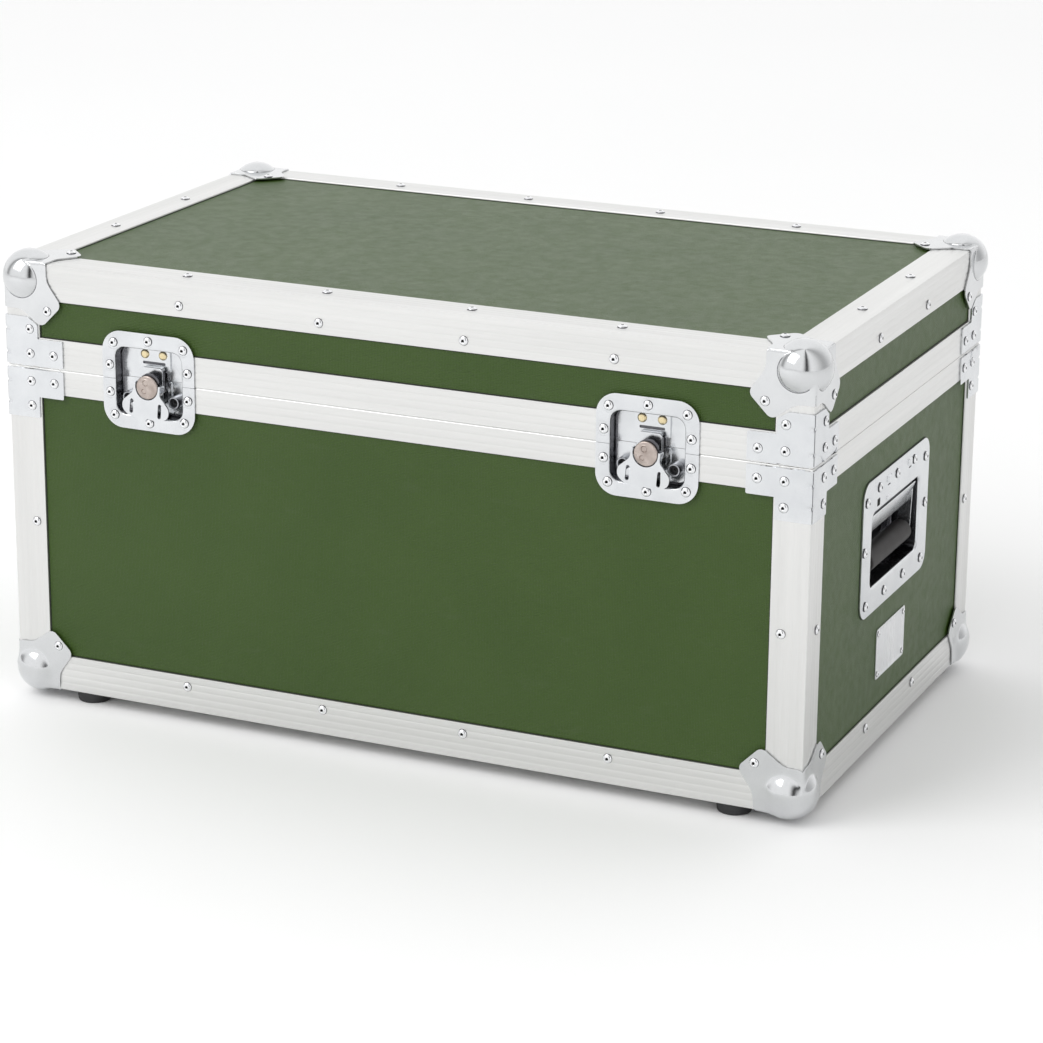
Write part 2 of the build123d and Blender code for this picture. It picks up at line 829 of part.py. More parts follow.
# ---------------------------------------------------------------- nameplate
plate_width = 82.0
plate_rise = 49.0
plate_z = 86.5
plate_corner = 3.0
plate_sheet = 1.0
plate_rivet_in = 5.0
with BuildPart() as nameplate:
    with BuildSketch(side_plane(1, floor_z + plate_z, edge_wall + part_gap - plate_gap)):
        RectangleRounded(plate_width, plate_rise, plate_corner)
    extrude(amount=plate_sheet)
save(nameplate, "nameplate")


# ---------------------------------------------------------------- hinges
knuckles = 5
knuckle_pitch = hinge_width / knuckles
knuckle_play = 0.2
hinge_axis_z = parting_z + parting_gap / 2


def hinge_leaves(name, up, own):
    """Two leaves on the back rims with their knuckles; own lists the knuckles that belong to this leaf."""
    with BuildPart() as leaves:
        for x in (-hinge_x, hinge_x):
            face = Plane(origin=(x, half_d, hinge_axis_z), x_dir=(-1, 0, 0), z_dir=(0, 1, 0))
            across = Plane(origin=(x, half_d + knuckle_back, hinge_axis_z), x_dir=(0, 1, 0), z_dir=(1, 0, 0))
            with BuildSketch(face.offset(plate_gap)):
                bar(-hinge_width / 2, hinge_width / 2, *sorted((0, up * hinge_leaf)))
                for i in range(knuckles):
                    if i not in own:
                        low = (i - knuckles / 2) * knuckle_pitch
                        rise = up * (knuckle_radius + 2 * knuckle_play)
                        bar(low, low + knuckle_pitch, *sorted((-up, rise)), mode=Mode.SUBTRACT)
            extrude(amount=sheet)
            for i in own:
                centre = (i + 0.5 - knuckles / 2) * knuckle_pitch
                with BuildSketch(across.offset(centre)):
                    Circle(knuckle_radius)
                extrude(amount=knuckle_pitch / 2 - knuckle_play, both=True)
            with BuildSketch(across):
                Circle(hinge_pin_radius + running_fit)
            extrude(amount=hinge_width, both=True, mode=Mode.SUBTRACT)
    save(leaves, name)


hinge_leaves("hinge_lower_leaves", -1, (0, 2, 4))
hinge_leaves("hinge_upper_leaves", 1, (1, 3))

with BuildPart() as hinge_pins:
    for x in (-hinge_x, hinge_x):
        axis_point = (x, half_d + knuckle_back, hinge_axis_z)
        with BuildSketch(Plane(origin=axis_point, x_dir=(0, 1, 0), z_dir=(1, 0, 0))):
            Circle(hinge_pin_radius)
        extrude(amount=hinge_width / 2 + 0.5, both=True)
save(hinge_pins, "hinge_pins")


# ---------------------------------------------------------------- rivets
rivet_floor = 0.4
with BuildPart() as rivet:
    with BuildSketch(Plane.XZ):
        with BuildLine():
            Polyline(
                (rivet_hole, rivet_floor),
                (rivet_hole, rivet_height),
                (rivet_radius * 0.6, rivet_height * 0.9),
                (rivet_radius * 0.9, rivet_height * 0.5),
                (rivet_radius, 0),
                (0, 0),
                (0, rivet_floor),
                close=True,
            )
        make_face()
    revolve(axis=Axis.Z)

with BuildPart() as small_rivet:
    add(rivet.part)
    scale(by=small_rivet_scale)


def spots(plane, points):
    """Locations of points on a work plane, lifted clear of the sheet below."""
    return [plane.location * Location((x, y, plate_gap)) for x, y in points]


def four_faces():
    """The front, back, left and right work planes, each with its half width, origin at floor level."""
    back = Plane(origin=(0, half_d, 0), x_dir=(-1, 0, 0), z_dir=(0, 1, 0))
    ends = [(side_plane(side, 0), half_d) for side in (-1, 1)]
    return [(front_plane(0, 0), half_w), (back, half_w)] + ends


def edge_row(half):
    """Places of the rivets along one edge extrusion."""
    if half == half_w:
        return [(i - 1.5) * row_pitch for i in range(4)]
    return [-side_pitch / 2, side_pitch / 2]


def flat_rows(plane):
    """Rivets on the bottom or top face, along all four edges."""
    rows = [(x, side * (half_d - top_row)) for x in edge_row(half_w) for side in (-1, 1)]
    rows += [(side * (half_w - top_row), y) for y in edge_row(half_d) for side in (-1, 1)]
    return spots(plane, rows)


def corner_spots(plane, half, corner_z, up):
    """One rivet in the lobe of each ball corner on one face, on top of its plate."""
    rise = corner_z + up * ball_rivet
    points = [(side * (half - ball_rivet), rise) for side in (-1, 1)]
    return spots(plane.offset(plate_gap + sheet), points)


def brace_spots(plane, half, rim_z, up):
    """Three rivets in each corner brace on one face."""
    pattern = [(brace_near, brace_row), (brace_far, brace_row), (brace_near, brace_top_row)]
    points = [(side * (half - a), rim_z + up * b) for side in (-1, 1) for a, b in pattern]
    return spots(plane.offset(plate_gap + sheet), points)


latch_pattern = [(36.8, 34.6), (-36.8, 34.6), (0, 39.0), (41.1, 13.0), (-41.1, 13.0)]


def latch_spots(up):
    """Five rivets in each half of both latch flanges."""
    lift = plate_gap + sheet
    places = []
    for x in latch_sides.values():
        places += spots(front_plane(x, parting_z).offset(lift), [(a, up * b) for a, b in latch_pattern])
    return places


def lid_and_base(corner_z, up, rim_z):
    """Rivets that the base and the lid have alike: edge rows, posts' corners and braces."""
    places = []
    for plane, half in four_faces():
        row_z = corner_z + up * face_row
        places += spots(plane, [(x, row_z) for x in edge_row(half)])
        places += corner_spots(plane, half, corner_z, up)
        places += brace_spots(plane, half, rim_z, -up)
    return places


def plate_corner_spots(plane):
    """Rivets in the lobes of the four ball plates on the bottom or top face."""
    inset = ball_rivet
    points = [(sx * (half_w - inset), sy * (half_d - inset)) for sx in (-1, 1) for sy in (-1, 1)]
    return spots(plane.offset(plate_gap + sheet), points)


post_row_z = floor_z + 167.0
handle_row = [(-84, 46), (84, 46), (-50, 52), (0, 52), (50, 52), (-87.5, 0), (87.5, 0)]
handle_row += [(-80, -53), (-27, -53), (27, -53), (80, -53)]
hinge_row = [-26, 0, 26]
hinge_row_rise = 14.0
underside = Plane(origin=(0, 0, floor_z), x_dir=(1, 0, 0), z_dir=(0, 0, -1))
upperside = Plane.XY.offset(top_z)
back_face = Plane(origin=(0, half_d, hinge_axis_z), x_dir=(-1, 0, 0), z_dir=(0, 1, 0))


def hinge_spots(up):
    """Three rivets in each hinge leaf."""
    points = [(x + a, up * hinge_row_rise) for x in (-hinge_x, hinge_x) for a in hinge_row]
    return spots(back_face.offset(plate_gap + sheet), points)


base_places = lid_and_base(floor_z, 1, parting_z)
base_places += flat_rows(underside) + plate_corner_spots(underside)
for plane, half in four_faces():
    base_places += spots(plane, [(side * (half - face_row), post_row_z) for side in (-1, 1)])
for side in (-1, 1):
    handle_face = side_plane(side, floor_z + handle_z, edge_wall + part_gap).offset(plate_gap + sheet)
    base_places += spots(handle_face, handle_row)
base_places += latch_spots(-1) + hinge_spots(-1)
small_places = spots(
    side_plane(1, floor_z + plate_z, edge_wall + part_gap - plate_gap).offset(plate_sheet),
    [
        (sx * (plate_width / 2 - plate_rivet_in), sy * (plate_rise / 2 - plate_rivet_in))
        for sx in (-1, 1)
        for sy in (-1, 1)
    ],
)

lid_places = lid_and_base(top_z, -1, parting_z + parting_gap)
lid_places += flat_rows(upperside) + plate_corner_spots(upperside)
lid_places += latch_spots(1) + hinge_spots(1)
keeper_places = []
for x in latch_sides.values():
    keeper_face = front_plane(x, parting_z).offset(-pocket_depth + sheet + plate_gap)
    keeper_places += spots(keeper_face, [(a, keeper_rivet_z) for a in (-keeper_rivet_x, keeper_rivet_x)])

with BuildPart() as base_rivets:
    with Locations(*base_places):
        add(rivet.part)
    with Locations(*small_places):
        add(small_rivet.part)
save(base_rivets, "base_rivets")

with BuildPart() as lid_rivets:
    with Locations(*lid_places):
        add(rivet.part)
save(lid_rivets, "lid_rivets")

with BuildPart() as keeper_rivets:
    with Locations(*keeper_places):
        add(rivet.part)
save(keeper_rivets, "keeper_rivets")
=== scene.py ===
import math

import bmesh
import bpy
from mathutils import Matrix, Vector
from mathutils.geometry import delaunay_2d_cdt

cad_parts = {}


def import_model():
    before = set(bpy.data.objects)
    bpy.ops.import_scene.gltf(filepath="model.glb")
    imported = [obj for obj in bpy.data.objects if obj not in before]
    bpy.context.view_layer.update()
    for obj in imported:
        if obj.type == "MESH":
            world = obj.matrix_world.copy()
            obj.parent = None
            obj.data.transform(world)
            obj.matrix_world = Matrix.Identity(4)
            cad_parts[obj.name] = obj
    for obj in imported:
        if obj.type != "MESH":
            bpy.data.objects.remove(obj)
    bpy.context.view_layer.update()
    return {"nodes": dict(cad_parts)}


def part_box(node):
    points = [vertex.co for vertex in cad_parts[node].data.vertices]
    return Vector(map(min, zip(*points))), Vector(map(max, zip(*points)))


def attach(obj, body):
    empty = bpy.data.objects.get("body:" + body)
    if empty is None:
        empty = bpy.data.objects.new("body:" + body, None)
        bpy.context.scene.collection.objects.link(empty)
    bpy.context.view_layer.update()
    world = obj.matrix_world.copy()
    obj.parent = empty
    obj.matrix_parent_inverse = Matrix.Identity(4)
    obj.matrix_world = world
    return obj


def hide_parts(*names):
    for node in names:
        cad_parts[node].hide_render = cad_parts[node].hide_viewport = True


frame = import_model()

# Footlocker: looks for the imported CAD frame.  Shapes are worked out in millimetres on work planes of the case
# and turned to metres when a piece is made.  On a work plane u runs right, v up and w out of the case.
MM = 0.001


# ---------------------------------------------------------------- places read from the frame
def box_mm(node):
    """Lowest and highest corner of a CAD node in millimetres."""
    return [Vector([round(c / MM, 2) for c in corner]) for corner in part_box(node)]


def middle(node):
    low, high = box_mm(node)
    return (low + high) / 2


half_w = box_mm("base_rims_side")[1].x
half_d = box_mm("base_edges_long")[1].y
floor_z = box_mm("base_edges_long")[0].z
top_z = box_mm("lid_edges_long")[1].z
parting_z = box_mm("latch_lower_dish_left")[1].z
parting_gap = 0.3
plate_gap = 0.05
sheet = 1.5
plate_top = plate_gap + sheet
panel_in = 2.1

edge_leg = 35.0
edge_wall = 2.0
inner_start = 9.0
inner_end = 24.0
inner_wall = 1.5
# Height of the fluted face that the rims show at each side of the parting line.
base_rim_band = 24.0
lid_rim_band = 29.3
corner_trim = 16.5
mitre_gap = 0.05
post_play = 0.1

latch_x = middle("latch_lower_dish_right").x
hub_z = -4.0
rest_turn = math.radians(5.0)
handle_z = middle("handle_tray_right").z

ENDS = (-1, 1)
ACROSS = {-1: "left", 1: "right"}
DEPTH = {-1: "front", 1: "back"}
CORNERS = [(sx, sy, f"{DEPTH[sy]}_{ACROSS[sx]}") for sx in ENDS for sy in ENDS]


# ---------------------------------------------------------------- work planes
def along(origin, a, b, direction):
    """Matrix of an origin and three columns; a section drawn in a and b runs in the third direction."""
    columns = [Vector(a), Vector(b), Vector(direction), Vector(origin)]
    return Matrix([[c[i] for c in columns] for i in range(3)] + [[0, 0, 0, 1]])


def plane(origin, u, v):
    """Matrix of a work plane from its origin and the directions of u and v."""
    return along(origin, u, v, Vector(u).cross(Vector(v)))


def front_at(x, z):
    return plane((x, -half_d, z), (1, 0, 0), (0, 0, 1))


def side_at(side, z, inset=0.0):
    return plane((side * (half_w - inset), 0, z), (0, side, 0), (0, 0, 1))


def shift(u=0.0, v=0.0, w=0.0):
    return Matrix.Translation((u, v, w))


def crosswise(u=0.0, v=0.0, w=0.0):
    """Matrix that lays a section drawn in w and v along u."""
    return along((u, v, w), (0, 0, 1), (0, 1, 0), (1, 0, 0))


# ---------------------------------------------------------------- outlines
def divide(outline, step):
    """The closed outline with its long sides cut into pieces of about step."""
    cut = []
    for i, point in enumerate(outline):
        start, end = Vector(point), Vector(outline[(i + 1) % len(outline)])
        parts = max(1, round((end - start).length / step))
        cut += [start.lerp(end, k / parts) for k in range(parts)]
    return cut


def rounded(corners, radii, step=15.0):
    """A closed outline whose corners are arcs of the given radii."""
    outline = []
    for i, (corner, radius) in enumerate(zip(corners, radii)):
        point = Vector(corner)
        if radius <= 0:
            outline.append(point)
            continue
        back = (Vector(corners[i - 1]) - point).normalized()
        ahead = (Vector(corners[(i + 1) % len(corners)]) - point).normalized()
        half = back.angle(ahead) / 2
        centre = point + (back + ahead).normalized() * radius / math.sin(half)
        first = point + back * radius / math.tan(half) - centre
        last = point + ahead * radius / math.tan(half) - centre
        turn = math.atan2(first.x * last.y - first.y * last.x, first.dot(last))
        steps = max(2, round(abs(math.degrees(turn)) / step))
        outline += [centre + Matrix.Rotation(turn * k / steps, 2) @ first for k in range(steps + 1)]
    return outline


def rectangle(u0, u1, v0, v1, radius=0.0, step=11.25):
    corners = [(u0, v0), (u1, v0), (u1, v1), (u0, v1)]
    return rounded(corners, [radius] * 4, step) if radius else [Vector(c) for c in corners]


def circle(radius, count=40, u=0.0, v=0.0):
    turns = [2 * math.pi * k / count for k in range(count)]
    return [Vector((u + radius * math.cos(t), v + radius * math.sin(t))) for t in turns]


def arc(radius, start, span, steps, u=0.0, v=0.0):
    """Points on an arc; start and span in degrees."""
    turns = [math.radians(start + span * k / steps) for k in range(steps + 1)]
    return [Vector((u + radius * math.cos(t), v + radius * math.sin(t))) for t in turns]


def inside(point, loops):
    """True if the point lies in the first loop and in none of its holes."""
    hit = False
    x, y = point
    for loop in loops:
        for i, a in enumerate(loop):
            b = loop[i - 1]
            if (a[1] > y) != (b[1] > y) and x < (b[0] - a[0]) * (y - a[1]) / (b[1] - a[1]) + a[0]:
                hit = not hit
    return hit


def region(outline, holes=(), points=(), clear=0.4):
    """Triangles of a flat shape with holes; points are extra places for its vertices."""
    loops = [outline, *holes]
    places, edges = [], []
    for loop in loops:
        first, count = len(places), len(loop)
        places += [Vector(p) for p in loop]
        edges += [(first + i, first + (i + 1) % count) for i in range(count)]
    rim = list(places)
    for p in points:
        if inside(p, loops) and all((Vector(p) - r).length > clear for r in rim):
            places.append(Vector(p))
    verts, _, faces, *_ = delaunay_2d_cdt(places, edges, [], 0, 1e-4)
    kept = [f for f in faces if inside(sum((verts[i] for i in f), Vector((0, 0))) / len(f), loops)]
    return verts, kept


def grid(us, vs):
    return [(u, v) for u in us for v in vs]


def rings(radii, count=72):
    return [p for r in radii for p in circle(r, count)]


def mirrored(right):
    """The right half of an outline and its mirror image."""
    return right + [(-u, v) for u, v in reversed(right)]


def both_ends(profile):
    """One end of a turned profile and the same at its other end."""
    return profile + [(r, -h) for r, h in reversed(profile)]


def smooth(t):
    t = min(1.0, max(0.0, t))
    return t * t * (3 - 2 * t)


def hump(t):
    return math.exp(-t * t)


# ---------------------------------------------------------------- meshes
class Shape:
    """Collects parts of one piece, in millimetres, each placed by a matrix."""

    def __init__(self):
        self.verts, self.faces, self.slots = [], [], []

    def add(self, verts, faces, place=None, slot=0):
        place = place or Matrix.Identity(4)
        start = len(self.verts)
        mirrored = place.to_3x3().determinant() < 0
        self.verts += [place @ Vector(v) for v in verts]
        for face in faces:
            ids = [start + i for i in face]
            self.faces.append(ids[::-1] if mirrored else ids)
            self.slots.append(slot)

    def flat(self, outline, holes=(), points=(), height=lambda u, v: 0.0, place=None, slot=0):
        """A sheet over an outline, with a height for each point."""
        verts, faces = region(outline, holes, points)
        self.add([(v.x, v.y, height(v.x, v.y)) for v in verts], faces, place, slot)

    def loft(self, loops, cap_first=False, cap_last=False, place=None, slot=0):
        """Quads between loops of equal length, with optional end faces."""
        count = len(loops[0])
        verts = [p for loop in loops for p in loop]
        faces = []
        for k in range(len(loops) - 1):
            a, b = k * count, (k + 1) * count
            faces += [(a + i, a + (i + 1) % count, b + (i + 1) % count, b + i) for i in range(count)]
        if cap_first:
            faces.append(tuple(range(count))[::-1])
        if cap_last:
            faces.append(tuple(range(len(verts) - count, len(verts))))
        self.add(verts, faces, place, slot)

    def prism(self, outline, low, high, place=None, slot=0):
        loops = [[(p[0], p[1], h) for p in outline] for h in (low, high)]
        self.loft(loops, True, True, place, slot)

    def lathe(self, profile, place=None, slot=0, count=40, cap_first=True, cap_last=True):
        """A turned solid round w from (radius, height) pairs that start at the bottom."""
        loops = [[(p.x, p.y, h) for p in circle(r, count)] for r, h in profile]
        self.loft(loops, cap_first, cap_last, place, slot)

    def tube(self, path, radius, place=None, slot=0, count=12):
        """A round wire along a list of points."""
        points = [Vector(p) for p in path]
        side = (points[1] - points[0]).orthogonal().normalized()
        loops = []
        for i, point in enumerate(points):
            ahead = (points[min(i + 1, len(points) - 1)] - points[max(i - 1, 0)]).normalized()
            side = (side - ahead * side.dot(ahead)).normalized()
            across = ahead.cross(side)
            loops.append([point + side * p.x + across * p.y for p in circle(radius, count)])
        self.loft(loops, True, True, place, slot)


SHARP = math.radians(34)


def link(name, data):
    thing = bpy.data.objects.new(name, data)
    bpy.context.scene.collection.objects.link(thing)
    return thing


def make(name, shape, materials, body, nodes=(), slot=None, thick=0.0, bevel=0.0, shell=False, cut=None):
    """Turn a shape into a Blender object on its body.

    thick gives an open sheet its wall behind its face, bevel rounds the edges and cut keeps one side of a
    plane.  The back of a sheet takes the first material.
    """
    data = bpy.data.meshes.new(name)
    data.from_pydata([v * MM for v in shape.verts], [], shape.faces)
    for finish in materials:
        data.materials.append(finish)
    data.polygons.foreach_set("material_index", shape.slots)
    work = bmesh.new()
    work.from_mesh(data)
    bmesh.ops.remove_doubles(work, verts=work.verts, dist=0.002 * MM)
    if cut:
        point, keep = cut
        everything = work.verts[:] + work.edges[:] + work.faces[:]
        bmesh.ops.bisect_plane(
            work, geom=everything, plane_co=Vector(point) * MM, plane_no=-Vector(keep), clear_outer=True
        )
    if not shell:
        bmesh.ops.recalc_face_normals(work, faces=work.faces[:])
    for face in work.faces:
        face.smooth = True
    work.to_mesh(data)
    work.free()
    data.set_sharp_from_angle(angle=SHARP)
    thing = link(name, data)
    if thick:
        for _ in materials:
            data.materials.append(materials[0])
        wall = thing.modifiers.new("wall", "SOLIDIFY")
        wall.material_offset = len(materials)
        wall.thickness = thick * MM
        wall.offset = -1.0
        wall.use_even_offset = False
    if bevel:
        edge = thing.modifiers.new("edge", "BEVEL")
        edge.width = bevel * MM
        edge.segments = 2
        edge.limit_method = "ANGLE"
        edge.angle_limit = SHARP
        edge.harden_normals = True
    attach(thing, body)
    if nodes:
        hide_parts(*nodes)


def dress(node, look, shape, materials, body, slot="zinc_steel", *more, **also):
    """Make the piece that takes a CAD node's place; look ends its name."""
    make(f"{node}_{look}", shape, materials, body, [node], slot, *more, **also)


# ---------------------------------------------------------------- materials
class Nodes:
    """Adds nodes to a node tree; an input is a number or the output that feeds it."""

    def __init__(self, tree):
        self.tree = tree

    def add(self, kind, inputs=None, **settings):
        node = self.tree.nodes.new(kind)
        for key, value in settings.items():
            setattr(node, key, value)
        for socket, value in (inputs or {}).items():
            if isinstance(value, bpy.types.NodeSocket):
                self.tree.links.new(value, node.inputs[socket])
            else:
                node.inputs[socket].default_value = value
        return node

    def math(self, operation, a, b=0.0):
        return self.add("ShaderNodeMath", {0: a, 1: b}, operation=operation).outputs[0]


class Finish(Nodes):
    """A procedural material round one Principled shader; its nodes work in metres on the piece at rest."""

    def __init__(self, name, **values):
        self.material = bpy.data.materials.new(name)
        self.material.use_nodes = True
        super().__init__(self.material.node_tree)
        self.shader = self.tree.nodes["Principled BSDF"]
        for socket, value in values.items():
            self.shader.inputs[socket].default_value = value
        self.place = self.add("ShaderNodeTexCoord").outputs["Object"]

    def noise(self, scale, detail=3.0, stretch=(1, 1, 1)):
        place = self.add("ShaderNodeMapping", {"Vector": self.place, "Scale": stretch}).outputs[0]
        node = self.add("ShaderNodeTexNoise", {"Vector": place, "Scale": scale, "Detail": detail})
        return node.outputs["Fac"]

    def spread(self, value, low, high, start=0.3, end=0.7):
        names = {"Value": value, "From Min": start, "From Max": end, "To Min": low, "To Max": high}
        return self.add("ShaderNodeMapRange", names).outputs[0]

    def mix(self, amount, a, b):
        return self.add("ShaderNodeMix", {0: amount, 6: a, 7: b}, data_type="RGBA").outputs[2]

    def drive(self, socket, value):
        self.tree.links.new(value, self.shader.inputs[socket])

    def bump(self, *layers):
        """Stack bumps of (height, strength, distance in metres) on the shader's normal."""
        normal = None
        for height, strength, distance in layers:
            inputs = {"Height": height, "Strength": strength, "Distance": distance}
            if normal is not None:
                inputs["Normal"] = normal
            normal = self.add("ShaderNodeBump", inputs).outputs[0]
        self.drive("Normal", normal)


def rgb(r, g, b):
    return (r, g, b, 1.0)


lattice_pitch = 1.5
# A wave texture of scale 1 repeats 20 times in 2 pi.
lattice_scale = 2 * math.pi / (20 * lattice_pitch * MM)
skin = 4.0


def laminate():
    """Olive laminate with a fine raised grain outside, bare birch plywood on every other face."""
    f = Finish("laminate", Metallic=0.0, IOR=1.42)
    patches = f.noise(9.0, 4.0)
    green = f.mix(f.spread(patches, 0.0, 1.0), rgb(0.033, 0.071, 0.006), rgb(0.039, 0.079, 0.009))
    scuffs = f.noise(26.0, 6.0, (1, 1, 3))
    green = f.mix(f.spread(scuffs, 0.0, 0.25, 0.62, 0.75), green, rgb(0.055, 0.09, 0.03))
    veins = f.noise(14.0, 5.0, (1.0, 14.0, 14.0))
    wood = f.mix(f.spread(veins, 0.0, 1.0), rgb(0.62, 0.47, 0.29), rgb(0.74, 0.60, 0.41))
    # The laminate is wherever a face lies less than the skin's depth behind a face of the case.
    split = f.add("ShaderNodeSeparateXYZ", {0: f.place}).outputs
    depths = [
        f.math("SUBTRACT", f.math("ABSOLUTE", split[0]), (half_w - skin) * MM),
        f.math("SUBTRACT", f.math("ABSOLUTE", split[1]), (half_d - skin) * MM),
        f.math("SUBTRACT", split[2], (top_z - skin) * MM),
        f.math("SUBTRACT", (floor_z + skin) * MM, split[2]),
    ]
    nearest = depths[0]
    for depth in depths[1:]:
        nearest = f.math("MAXIMUM", nearest, depth)
    outside = f.math("GREATER_THAN", nearest, 0.0)
    f.drive("Base Color", f.mix(outside, wood, green))
    gloss = f.spread(f.noise(90.0, 3.0), 0.34, 0.43)
    f.drive("Roughness", f.add("ShaderNodeMix", {0: outside, 2: 0.62, 3: gloss}).outputs[0])
    cells = f.add("ShaderNodeTexVoronoi", {"Vector": f.place, "Scale": 620.0}, feature="SMOOTH_F1").outputs[0]
    lattice = None
    for axis in "XYZ":
        inputs = {"Vector": f.place, "Scale": lattice_scale, "Distortion": 0.8}
        wave = f.add("ShaderNodeTexWave", inputs, bands_direction=axis).outputs["Fac"]
        lattice = wave if lattice is None else f.math("ADD", lattice, wave)
    f.bump((cells, 0.45, 0.0006), (lattice, 0.55, 0.0004), (patches, 0.05, 0.002))
    return f.material


def metal(name, colour, worn, rough, change=0.12, spots=55.0, stretch=(1, 1, 1), ripple=0.02, lines=0.0):
    """Bare or plated metal with cloudy gloss, faint handling marks and drawn lines along one axis."""
    f = Finish(name, Metallic=1.0)
    cloud = f.noise(spots, 4.0, stretch)
    streak = f.noise(spots * 14.0, 3.0, stretch)
    blend = f.math("MULTIPLY", f.spread(cloud, 0.0, 1.0), 0.75)
    blend = f.math("ADD", blend, f.math("MULTIPLY", f.spread(streak, 0.0, 1.0), 0.25))
    f.drive("Base Color", f.mix(blend, rgb(*colour), rgb(*worn)))
    wear = f.math("ADD", cloud, f.math("MULTIPLY", streak, 0.4))
    f.drive("Roughness", f.spread(wear, rough, rough + change, 0.4, 1.0))
    f.bump((cloud, ripple, 0.002), (streak, lines, 0.0002))
    return f.material


def rubber(name, colour, rough):
    f = Finish(name, Metallic=0.0)
    grain = f.noise(900.0, 3.0)
    dust = f.noise(70.0, 5.0)
    lighter = tuple(c * 1.7 + 0.006 for c in colour)
    f.drive("Base Color", f.mix(f.spread(dust, 0.0, 0.7), rgb(*colour), rgb(*lighter)))
    f.drive("Roughness", f.spread(dust, rough - 0.06, rough + 0.06))
    f.bump((grain, 0.25, 0.0003), (dust, 0.05, 0.001))
    return f.material


LAMINATE = laminate()
LENGTHWISE = {"x": (0.04, 1, 1), "y": (1, 0.04, 1), "z": (1, 1, 0.04)}
EXTRUSION = {}
for axis, stretch in LENGTHWISE.items():
    pale, dull = (0.755, 0.755, 0.745), (0.69, 0.69, 0.68)
    EXTRUSION[axis] = metal(f"extrusion_{axis}", pale, dull, 0.30, 0.10, 60.0, stretch, 0.01, 0.12)
EVEN = (1, 1, 1)
DRAWN = (1, 1, 0.03)
ZINC = metal("zinc_plate", (0.71, 0.725, 0.74), (0.63, 0.645, 0.665), 0.16, 0.10, 45.0, EVEN, 0.05, 0.03)
# Dark copy of the zinc plate: painted shade for pocket walls, folds, bend lines, rivet rims and other parts in
# shadow.
SHADED = metal("zinc_painted_shade", (0.15, 0.15, 0.16), (0.08, 0.08, 0.09), 0.20, 0.12, 45.0, EVEN, 0.06, 0.04)
BRIGHT = metal("bright_plate", (0.68, 0.69, 0.70), (0.61, 0.62, 0.63), 0.08, 0.07, 32.0, EVEN, 0.04, 0.02)
RIVET = metal("rivet_steel", (0.88, 0.885, 0.895), (0.78, 0.79, 0.81), 0.13, 0.10, 120.0, lines=0.02)
# Near-black colour in a rivet's hole: painted shade.
HOLE_SHADE = metal("rivet_hole_shade", (0.035, 0.033, 0.032), (0.02, 0.02, 0.02), 0.45, 0.20, 200.0)
BRASS = metal("brass_rivet", (0.82, 0.72, 0.48), (0.72, 0.60, 0.36), 0.20, 0.12, 160.0, lines=0.03)
NICKEL = metal("nickel_head", (0.58, 0.51, 0.47), (0.34, 0.28, 0.25), 0.22, 0.16, 110.0, EVEN, 0.08, 0.10)
STEEL = metal("worked_steel", (0.50, 0.51, 0.54), (0.34, 0.35, 0.37), 0.26, 0.12, 60.0, lines=0.06)
SPRING = metal("spring_wire", (0.42, 0.42, 0.44), (0.30, 0.30, 0.32), 0.30, 0.12, 150.0)
BRUSHED = metal("brushed_plate", (0.80, 0.81, 0.82), (0.70, 0.71, 0.73), 0.22, 0.12, 70.0, DRAWN, 0.02, 0.25)
# Near-black colour for the thin shadow lines at extrusion edges and round the handle trays: painted shade.
SHADE_LINE = rubber("painted_shade_line", (0.012, 0.014, 0.010), 0.75)
GRIP = rubber("grip_rubber", (0.014, 0.012, 0.012), 0.60)
FOOT = rubber("foot_rubber", (0.016, 0.016, 0.017), 0.60)


# ---------------------------------------------------------------- edge extrusions
flutes = 5
arris_round = 1.2
tip_round = 0.7
groove_depth = 0.24
crown_depth = 0.07
bead_width = 0.85
bead_height = 0.5


def fluted(start, end, count):
    """(distance, depth) along an outer face with shallow crowned flutes between narrow grooves."""
    pitch = (end - start) / count
    half = [(0.0, groove_depth), (0.10, crown_depth), (0.30, 0.02), (0.5, 0.0)]
    whole = half + [(1 - t, d) for t, d in half[2:0:-1]]
    points = [(start + (i + t) * pitch, d) for i in range(count) for t, d in whole]
    return points[1:]


def outer_leg(count=flutes):
    """Outer face of a leg from its tip to the arris, as (distance from the arris, depth)."""
    tip = [(edge_leg, edge_wall), (edge_leg, tip_round), (edge_leg - tip_round * 0.3, tip_round * 0.3)]
    tip.append((edge_leg - tip_round, 0.0))
    face = fluted(arris_round, edge_leg - tip_round, count)
    return tip + face[::-1]


def angle_section():
    """Closed section of the edge extrusion, the arris at 0, 0."""
    leg = outer_leg()
    bend = arris_round * (1 - math.sqrt(0.5))
    near = edge_wall + inner_wall
    far = inner_start + inner_wall
    inside_angle = [
        (edge_wall, near),
        (inner_start, far),
        (inner_start, inner_end),
        (far, inner_end),
        (far, far),
        (inner_end, far),
        (inner_end, inner_start),
        (far, inner_start),
        (near, edge_wall),
    ]
    return leg + [(bend, bend)] + [(b, a) for a, b in leg[::-1]] + inside_angle


def strip(low, high):
    """Dark bead in the gap between an extrusion's edge and the panel: painted shade, seen as a thin shadow
    line.
    """
    return [(low, panel_in), (low, panel_in - bead_height), (high, panel_in - bead_height), (high, panel_in)]


ANGLE = angle_section()
BEAD = strip(edge_leg - 0.5, edge_leg + bead_width)
BEAD_TURNED = [(b, a) for a, b in BEAD]


def run(shape, section, place, length, starts, ends, slot=0):
    """Extrude a section along w; starts and ends give how far each point stays from the two ends."""
    first = [(a, b, starts(a, b)) for a, b in section]
    last = [(a, b, length - ends(a, b)) for a, b in section]
    shape.loft([first, last], True, True, place, slot)


def corner_cut(a, b):
    return max(a, b, corner_trim) + mitre_gap


def rim_cut(a, b):
    return a + mitre_gap


def square_cut(a, b):
    return 0.0


